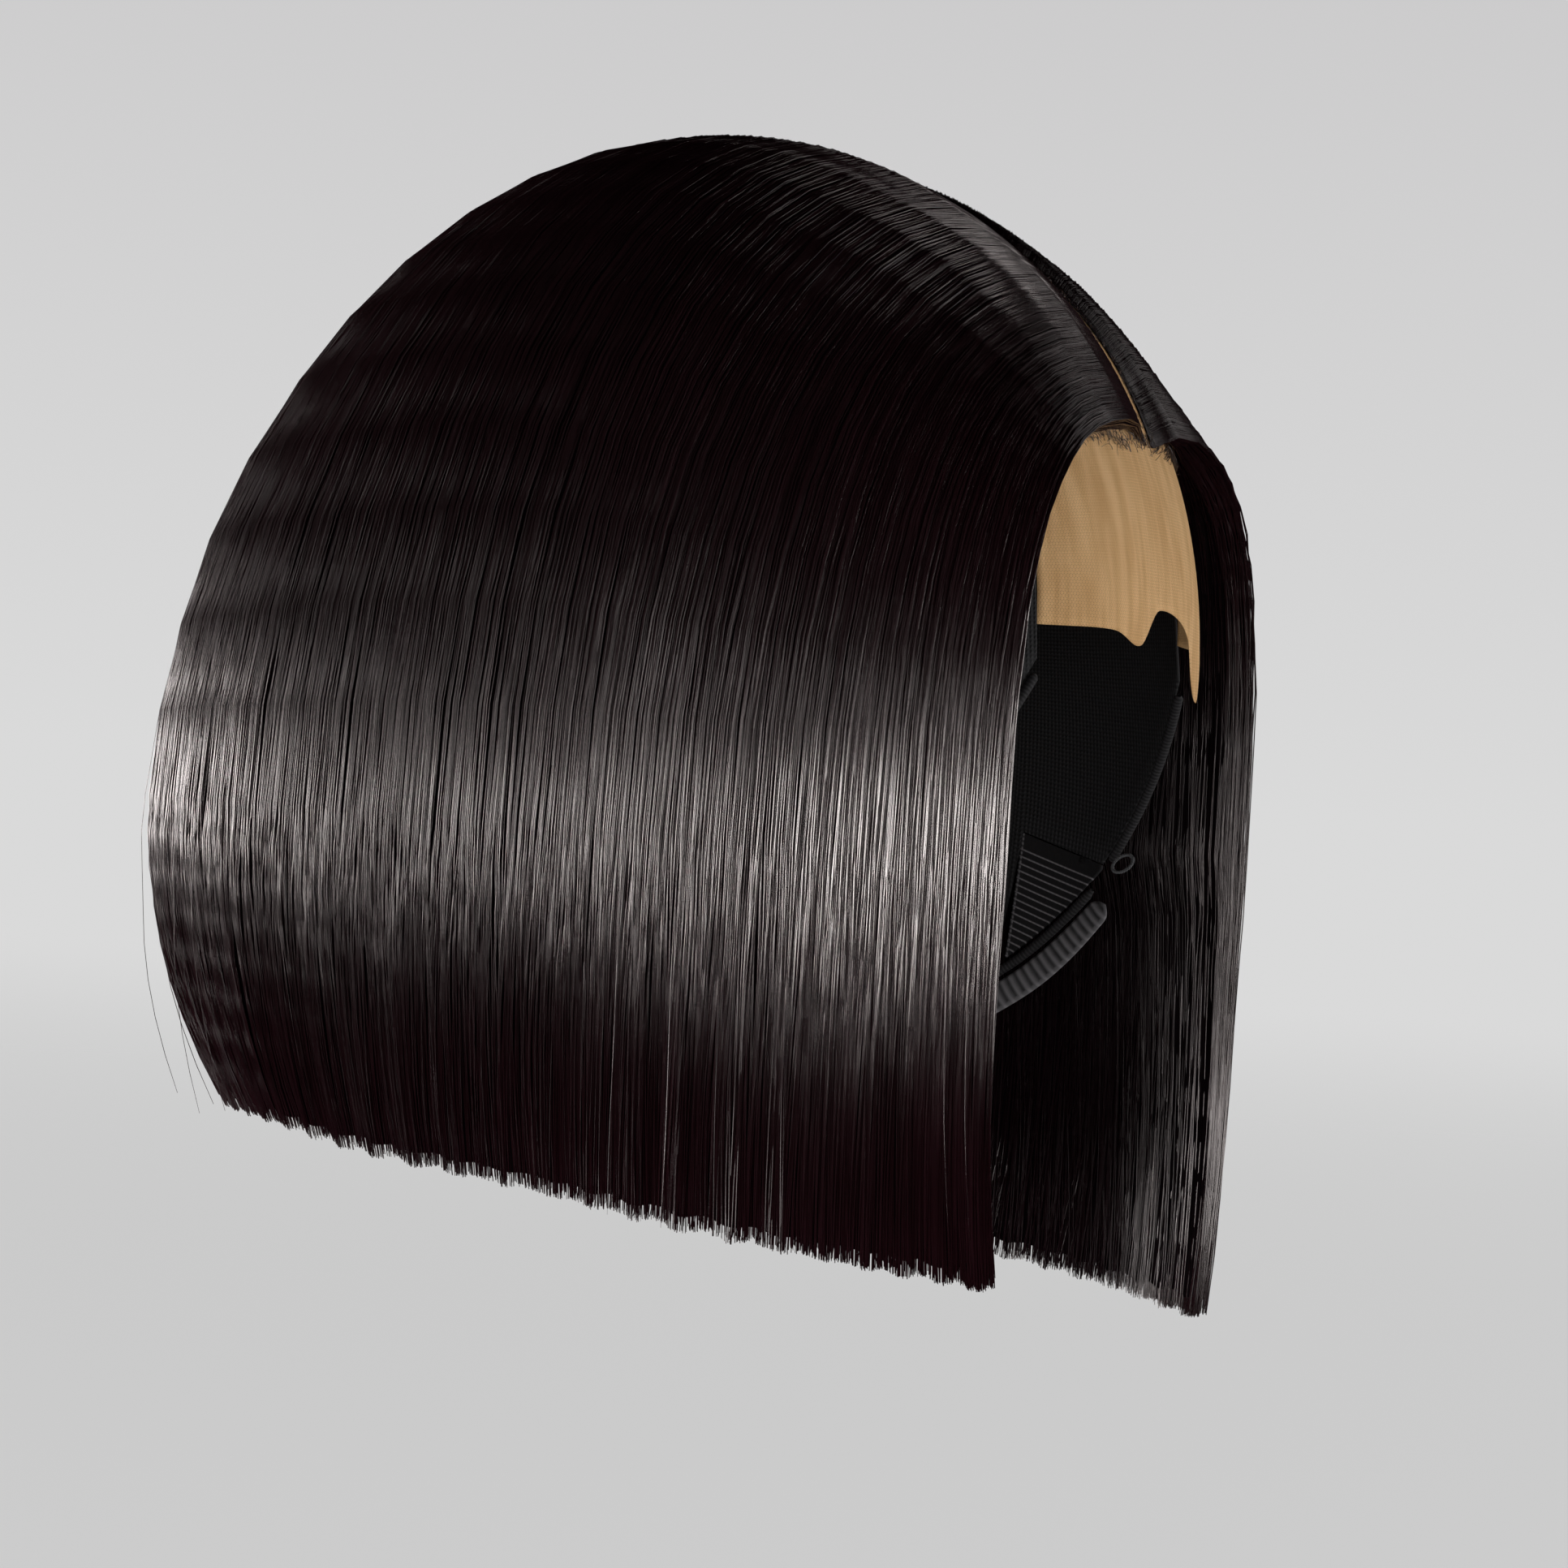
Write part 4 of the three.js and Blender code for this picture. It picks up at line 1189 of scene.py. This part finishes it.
@dataclass
class Cap:
    """The cap under the hair: stretch fabric, lace closure, striped gussets, cords, elastic and loops."""

    form: CapForm = field(default_factory=CapForm)
    fabric_wall: float = 0.7 * MM
    lace_thickness: float = 0.22 * MM
    cord_radius: float = 1.15 * MM
    strap_width: float = 6 * MM
    strap_thickness: float = 1.5 * MM
    strap_end_turn: float = 82.0
    gather_pitch: float = 2.4 * MM
    loop_radius: float = 1.7 * MM
    loop_thread: float = 0.45 * MM
    loop_stretch: float = 1.7
    loop_tilt: float = 35.0
    loop_splay: float = 45.0
    strap_round: float = 3.0 * MM
    knot_turn: float = 51.5
    knot_radius: float = 1.6 * MM
    lace_grid: tuple = (71, 81)
    fabric_rows: int = 46
    fabric_start_turn: float = 12.0
    cut_grid: int = 25
    cut_end_fall: float = 110.0
    cut_reach: float = 20 * MM
    gusset_grid: tuple = (110, 30)

    def lace(self) -> bpy.types.Object:
        """Makes the lace closure with its free flap over the forehead."""
        form = self.form
        across = np.linspace(-1, 1, self.lace_grid[1])[None, :]
        row = np.linspace(0, 1, self.lace_grid[0])[:, None]
        across, row = np.broadcast_arrays(across, row)
        length = form.flap_length * table_value(form.flap_across, form.flap_lengths, across)
        per_metre = 1 / form.head.half_length / DEGREE
        end = form.hairline_fall + length * per_metre
        fall = form.closure_back_fall + (end - form.closure_back_fall) * row
        past = np.maximum(0, fall - form.hairline_fall) / (form.flap_length * per_metre)
        wave = 0.5 + 0.5 * np.sin(across * 9 + past)
        stand_off = form.flap_stand_off * past * (0.6 + 0.8 * wave)
        direction = form.head.closure_direction(across * form.closure_half_angle, fall)
        middle = form.lace_wall / 2
        outer = form.head.point(direction, middle + self.lace_thickness / 2 + stand_off)
        inner = form.head.point(direction, middle - self.lace_thickness / 2 + stand_off)
        uv = np.stack([across * form.closure_half_width, fall * DEGREE * form.head.half_length], axis=-1)
        piece = wall_piece("lace_closure_net", outer, inner, uv)
        dress(piece, LaceFinish().material(), "lace", "lace_closure")
        return piece

    def fabric(self) -> bpy.types.Object:
        """Makes the stretch fabric with the closure's place cut out."""
        form = self.form
        face = np.linspace(self.fabric_start_turn, form.tab_turn, 16)
        half = np.concatenate([face, np.linspace(form.tab_turn + 1.6, 180, 70)])
        turns = np.concatenate([half, -half[:-1][::-1]])
        row = np.linspace(0, 1, self.fabric_rows)[:, None]
        turn = np.broadcast_to(turns[None, :], (self.fabric_rows, len(turns)))
        fall = form.head.fall_at_drop(np.abs(turns), form.fabric_edge(np.abs(turns)))[None, :] * row
        direction = form.head.direction(turn, fall)
        drop = -form.head.point(direction, np.zeros(fall.shape))[..., 2]
        flare = form.flare(np.abs(turn), drop)
        low = (form.wall - self.fabric_wall) / 2
        outer = form.head.point(direction, low + self.fabric_wall + flare)
        inner = form.head.point(direction, low + flare)
        uv = np.stack([turn * DEGREE * form.arc_radius, fall * DEGREE * form.arc_radius], axis=-1)
        piece = wall_piece("cap_fabric", outer, inner, uv, ring=True)
        mend(piece)
        self._cut_closure(piece)
        dress(piece, StretchMeshFinish().material(), "stretch_mesh", "cap_dome")
        return piece

    def _cut_closure(self, piece: bpy.types.Object) -> None:
        """Cuts the lace closure's place out of the stretch fabric."""
        form = self.form
        margin = form.clearance / form.head.half_length / DEGREE
        start = form.closure_back_fall - margin
        across = np.linspace(-1, 1, self.cut_grid)[None, :] * (form.closure_half_angle + margin)
        fall = start + (self.cut_end_fall - start) * np.linspace(0, 1, self.cut_grid)[:, None]
        across, fall = np.broadcast_arrays(across, fall)
        direction = form.head.closure_direction(across, fall)
        outer = form.head.point(direction, np.full(fall.shape, self.cut_reach))
        inner = form.head.point(direction, np.full(fall.shape, -self.cut_reach))
        block = wall_piece("closure_cut", outer, inner, np.zeros((*fall.shape, 2)))
        cut = piece.modifiers.new("closure_place", "BOOLEAN")
        cut.operation = "DIFFERENCE"
        cut.solver = "EXACT"
        cut.object = block
        deselect()
        bpy.context.view_layer.objects.active = piece
        bpy.ops.object.modifier_apply(modifier=cut.name)
        bpy.data.objects.remove(block)

    def gusset(self, side: Side) -> bpy.types.Object:
        """Makes the striped elastic gusset in front of the ear."""
        form = self.form
        turns = np.linspace(form.tab_turn, form.seam_turn - 0.2, self.gusset_grid[1])
        row = np.linspace(0, 1, self.gusset_grid[0])[:, None]
        turn, row = np.broadcast_arrays(turns[None, :], row)
        top = form.fabric_edge(turn) + form.clearance
        drop = top + (form.nape_edge(turn) - top) * row
        depth = drop - top
        line = GussetFinish()
        groove = 0.5 + 0.5 * np.cos((depth - line.hem) / line.pitch * math.tau)
        groove = np.where(depth > line.hem, groove, 0)
        low = (form.wall - self.fabric_wall) / 2
        outer = form.fabric_point(side.value * turn, drop, low + self.fabric_wall - 0.2 * MM * groove)
        inner = form.fabric_point(side.value * turn, drop, np.full(drop.shape, low))
        uv = np.stack([(turn - form.tab_turn) * DEGREE * form.arc_radius, depth], axis=-1)
        piece = wall_piece(f"gusset_{side.label}", outer, inner, uv)
        dress(piece, line.material(), "striped_elastic", f"ear_panel_{side.label}")
        return piece

    def _cord(self, name: str, route: Array, node: str) -> bpy.types.Object:
        """Makes one sewn cord along a route of points."""
        length = np.concatenate([[0], np.cumsum(np.linalg.norm(np.diff(route, axis=0), axis=1))])
        radii = np.full(len(route), self.cord_radius)
        radii[0] = radii[-1] = self.cord_radius * 0.5
        uv = np.stack([length, np.zeros(len(route))], axis=-1)
        piece = tube_piece(name, route[None], radii[None], uv[None], sides=14)
        return dress(piece, ClothFinish(f"{name}_cloth", ribs=1100.0).material(), "edge_cord", node)

    def cords(self) -> None:
        """Makes the cords that are sewn along the face edges and the nape edge."""
        form = self.form
        reach = 1.2 * MM
        for side in Side:
            turns = np.linspace(form.temple_turn + 3.2, form.tab_turn - 0.667, 60)
            route = form.edge_route(side, turns, form.fabric_edge, reach + form.clearance, form.wall / 2)
            self._cord(f"face_cord_{side.label}", route, f"face_binding_{side.label}")
        turns = np.linspace(form.tab_turn + 2, 180, 180)
        away = reach + 2 * form.clearance
        left = form.edge_route(Side.LEFT, turns, form.nape_edge, away, form.wall / 2)
        right = form.edge_route(Side.RIGHT, turns[:-1], form.nape_edge, away, form.wall / 2)
        self._cord("nape_cord", np.concatenate([left, right[::-1]]), "nape_binding")

    def strap(self, side: Side) -> bpy.types.Object:
        """Makes the gathered elastic under the nape cord."""
        form = self.form
        away = 2.4 * MM + 4 * form.clearance
        turns = np.linspace(form.tab_turn + 2, self.strap_end_turn, 260)
        middle = form.edge_route(side, turns, form.nape_edge, away + self.strap_width / 2, 0.0)
        steps = np.linalg.norm(np.diff(middle, axis=0), axis=1)
        length = np.concatenate([[0.0], np.cumsum(steps)])
        gather = 0.5 + 0.5 * np.sin(length / self.gather_pitch * math.tau)
        left = 1 - np.minimum(length, self.strap_round) / self.strap_round
        ended = np.sqrt(np.clip(1 - left**2, 0.02, 1))
        rows = np.linspace(0, 1, 11)
        outer, inner = [], []
        for row in rows:
            edge = math.sin(math.pi * row) ** 0.5
            half_row = 0.5 + (row - 0.5) * ended
            line = form.edge_route(
                side, turns, form.nape_edge, away + self.strap_width * half_row, self.strap_thickness / 2
            )
            flat = line * np.array([1, 1, 0])
            flat = flat / np.linalg.norm(flat, axis=1, keepdims=True)
            half = (0.25 * MM + edge * (self.strap_thickness / 2 - 0.25 * MM) * (1 - 0.6 * gather))[:, None]
            outer.append(line + flat * half)
            inner.append(line - flat * half)
        outer, inner = np.array(outer), np.array(inner)
        uv = np.stack(np.broadcast_arrays(length[None, :], rows[:, None]), axis=-1)
        piece = wall_piece(f"gathered_elastic_{side.label}", outer, inner, uv)
        finish = StrapFinish(pitch=self.gather_pitch)
        return dress(piece, finish.material(), "gathered_elastic", f"elastic_strap_{side.label}")

    def loop(self, side: Side) -> bpy.types.Object:
        """Makes the twisted thread loop at the ear tab."""
        form = self.form
        reach = 2.4 * MM + form.clearance + self.loop_radius * self.loop_stretch * 0.75
        turn = np.array([form.tab_turn - 1.2])
        seat = form.edge_route(side, turn, form.fabric_edge, reach, form.wall / 2)[0]
        outward = np.array([seat[0], seat[1], 0.0])
        outward /= np.linalg.norm(outward)
        forward = np.cross([0.0, 0.0, 1.0], outward) * -side.value
        splay, tilt = self.loop_splay * DEGREE, self.loop_tilt * DEGREE
        upward = np.array([0.0, 0.0, 1.0])
        away = forward * math.cos(splay) + outward * math.sin(splay)
        long = away * math.cos(tilt) + upward * math.sin(tilt)
        facing = np.cross(upward, away)
        short = np.cross(facing, long)
        angle = np.linspace(0, math.tau, 96, endpoint=False)
        ring = (
            seat
            + np.outer(np.cos(angle) * self.loop_radius * self.loop_stretch, long)
            + np.outer(np.sin(angle) * self.loop_radius, short)
        )
        paths = []
        for strand in range(2):
            twist = angle * 14 + strand * math.pi
            radial = ring - seat
            radial /= np.linalg.norm(radial, axis=1, keepdims=True)
            side_step = np.outer(np.sin(twist), facing) + radial * np.cos(twist)[:, None]
            paths.append(ring + side_step * self.loop_thread * 0.5)
        paths = np.array(paths)
        uv = np.broadcast_to(np.stack([angle, angle], axis=-1) * 0.01, (2, 96, 2))
        radii = np.full(paths.shape[:2], self.loop_thread * 0.55)
        piece = tube_piece(f"thread_loop_{side.label}", paths, radii, uv, sides=8, ring=True)
        finish = ClothFinish("thread", dark=(0.05, 0.05, 0.052), light=(0.2, 0.2, 0.21))
        return dress(piece, finish.material(), "thread", f"ear_loop_{side.label}")

    def knot(self, side: Side) -> bpy.types.Object:
        """Makes the sewn knot at the gusset's upper corner, by the loop."""
        form = self.form
        turn = np.array([self.knot_turn])
        place = form.edge_route(side, turn, form.fabric_edge, 0.6 * MM, form.wall + 0.4 * MM)[0]
        deselect()
        bpy.ops.mesh.primitive_uv_sphere_add(
            segments=18, ring_count=10, radius=self.knot_radius, location=place
        )
        piece = bpy.context.active_object
        piece.name = f"tab_knot_{side.label}"
        bpy.ops.object.mode_set(mode="EDIT")
        bpy.ops.transform.resize(value=(1.0, 1.0, 0.7))
        bpy.ops.transform.vertex_random(offset=0.12 * MM, seed=5)
        bpy.ops.object.mode_set(mode="OBJECT")
        bpy.ops.object.shade_smooth()
        bpy.ops.object.transform_apply(location=True, rotation=False, scale=False)
        return dress(piece, self.knot_material, "thread")

    def build(self) -> None:
        """Builds every part of the cap."""
        self.knot_material = ClothFinish("knot_thread", light=(0.02, 0.018, 0.02)).material()
        self.fabric()
        self.lace()
        for side in Side:
            self.gusset(side)
            self.strap(side)
            self.loop(side)
            self.knot(side)
        self.cords()


@dataclass
class Studio:
    """Pale floor, soft lights and the camera at the photograph's viewing angle."""

    target: tuple = (0.0034, -0.0084, -0.1386)
    azimuth: float = -68.0
    distance: float = 1.0
    roll: float = 3.5
    sensor: float = 36.0
    lens: float = 98.8
    floor_z: float = -0.34
    floor_size: float = 12.0
    lights: tuple = (
        ("left", -146.0, 0.0, 1.5, (1.1, 0.16), 7.3),
        ("band", -114.0, -0.5, 1.5, (0.9, 0.16), 4.2),
        ("lens", -68.0, -1.0, 1.3, (0.5, 0.2), 1.2),
        ("front", 18.0, 3.0, 1.5, (0.9, 0.5), 7.0),
        ("brow", 62.0, 30.0, 1.6, (0.7, 0.5), 0.7),
        ("face", -32.0, 4.0, 1.5, (0.7, 0.3), 1.5),
        ("low", -186.0, -15.0, 1.6, (0.9, 0.5), 2.4),
    )

    def camera(self) -> None:
        """Makes the camera."""
        data = bpy.data.cameras.new("camera")
        data.sensor_width = self.sensor
        data.lens = self.lens
        camera = bpy.data.objects.new("camera", data)
        bpy.context.scene.collection.objects.link(camera)
        angle = self.azimuth * DEGREE
        back = Vector((math.sin(angle), -math.cos(angle), 0.0))
        place = Vector(self.target) + back * self.distance
        turn = (-back).to_track_quat("-Z", "Y").to_matrix().to_4x4()
        camera.matrix_world = Matrix.Translation(place) @ turn @ Matrix.Rotation(self.roll * DEGREE, 4, "Z")
        bpy.context.scene.camera = camera

    def floor(self) -> None:
        """Makes the pale floor."""
        deselect()
        bpy.ops.mesh.primitive_plane_add(size=self.floor_size, location=(0, 0, self.floor_z))
        floor = bpy.context.active_object
        floor.name = "floor"
        floor.data.materials.append(StudioFinish().material())
        floor.visible_glossy = False

    def light(
        self, name: str, azimuth: float, elevation: float, reach: float, size: tuple, power: float
    ) -> None:
        """Adds one soft light that faces the wig.

        Args:
            name: The light's name.
            azimuth: Its turn, as the camera's azimuth is counted.
            elevation: Its height above the horizon, in degrees.
            reach: Its distance from the wig.
            size: Its width and height.
            power: Its power in watts.
        """
        data = bpy.data.lights.new(name, "AREA")
        data.shape = "RECTANGLE"
        data.size, data.size_y = size
        data.energy = power
        light = bpy.data.objects.new(name, data)
        bpy.context.scene.collection.objects.link(light)
        a, e = azimuth * DEGREE, elevation * DEGREE
        back = Vector((math.sin(a) * math.cos(e), -math.cos(a) * math.cos(e), math.sin(e)))
        light.location = Vector(self.target) + back * reach
        light.rotation_mode = "QUATERNION"
        light.rotation_quaternion = (-back).to_track_quat("-Z", "Y")
        light.visible_camera = False

    def world(self) -> None:
        """Makes a pale surrounding that the camera sees; it neither lights the pieces nor shines in them."""
        world = bpy.data.worlds.new("studio")
        bpy.context.scene.world = world
        world.use_nodes = True
        tree = world.node_tree
        tree.nodes.clear()
        kinds = ("TexCoord", "SeparateXYZ", "ValToRGB", "Background", "OutputWorld")
        coordinates, split, ramp, background, output = (tree.nodes.new(f"ShaderNode{kind}") for kind in kinds)
        tree.links.new(coordinates.outputs["Generated"], split.inputs[0])
        tree.links.new(split.outputs[2], ramp.inputs[0])
        tree.links.new(ramp.outputs[0], background.inputs[0])
        tree.links.new(background.outputs[0], output.inputs[0])
        stops = ramp.color_ramp.elements
        stops[0].position, stops[0].color = 0.0, (0.7, 0.7, 0.7, 1)
        stops[1].position, stops[1].color = 0.2, (0.6, 0.595, 0.6, 1)
        background.inputs[1].default_value = 1.0
        world.cycles_visibility.glossy = False
        world.cycles_visibility.diffuse = False

    def build(self) -> None:
        """Builds the camera, floor, surrounding and lights."""
        self.camera()
        self.floor()
        self.world()
        for light in self.lights:
            self.light(*light)
        bpy.context.scene.view_settings.view_transform = "Standard"


def corners(box: tuple) -> list:
    """Returns a box's two corners as plain lists."""
    return [[float(value) for value in corner] for corner in box]


def main() -> None:
    logging.basicConfig(level=logging.INFO, format="%(name)s %(message)s")
    Studio().build()
    log.info("studio built")
    Cap().build()
    log.info("cap built")
    Hair().build()
    log.info("hair built")


if __name__ == "__main__":
    main()
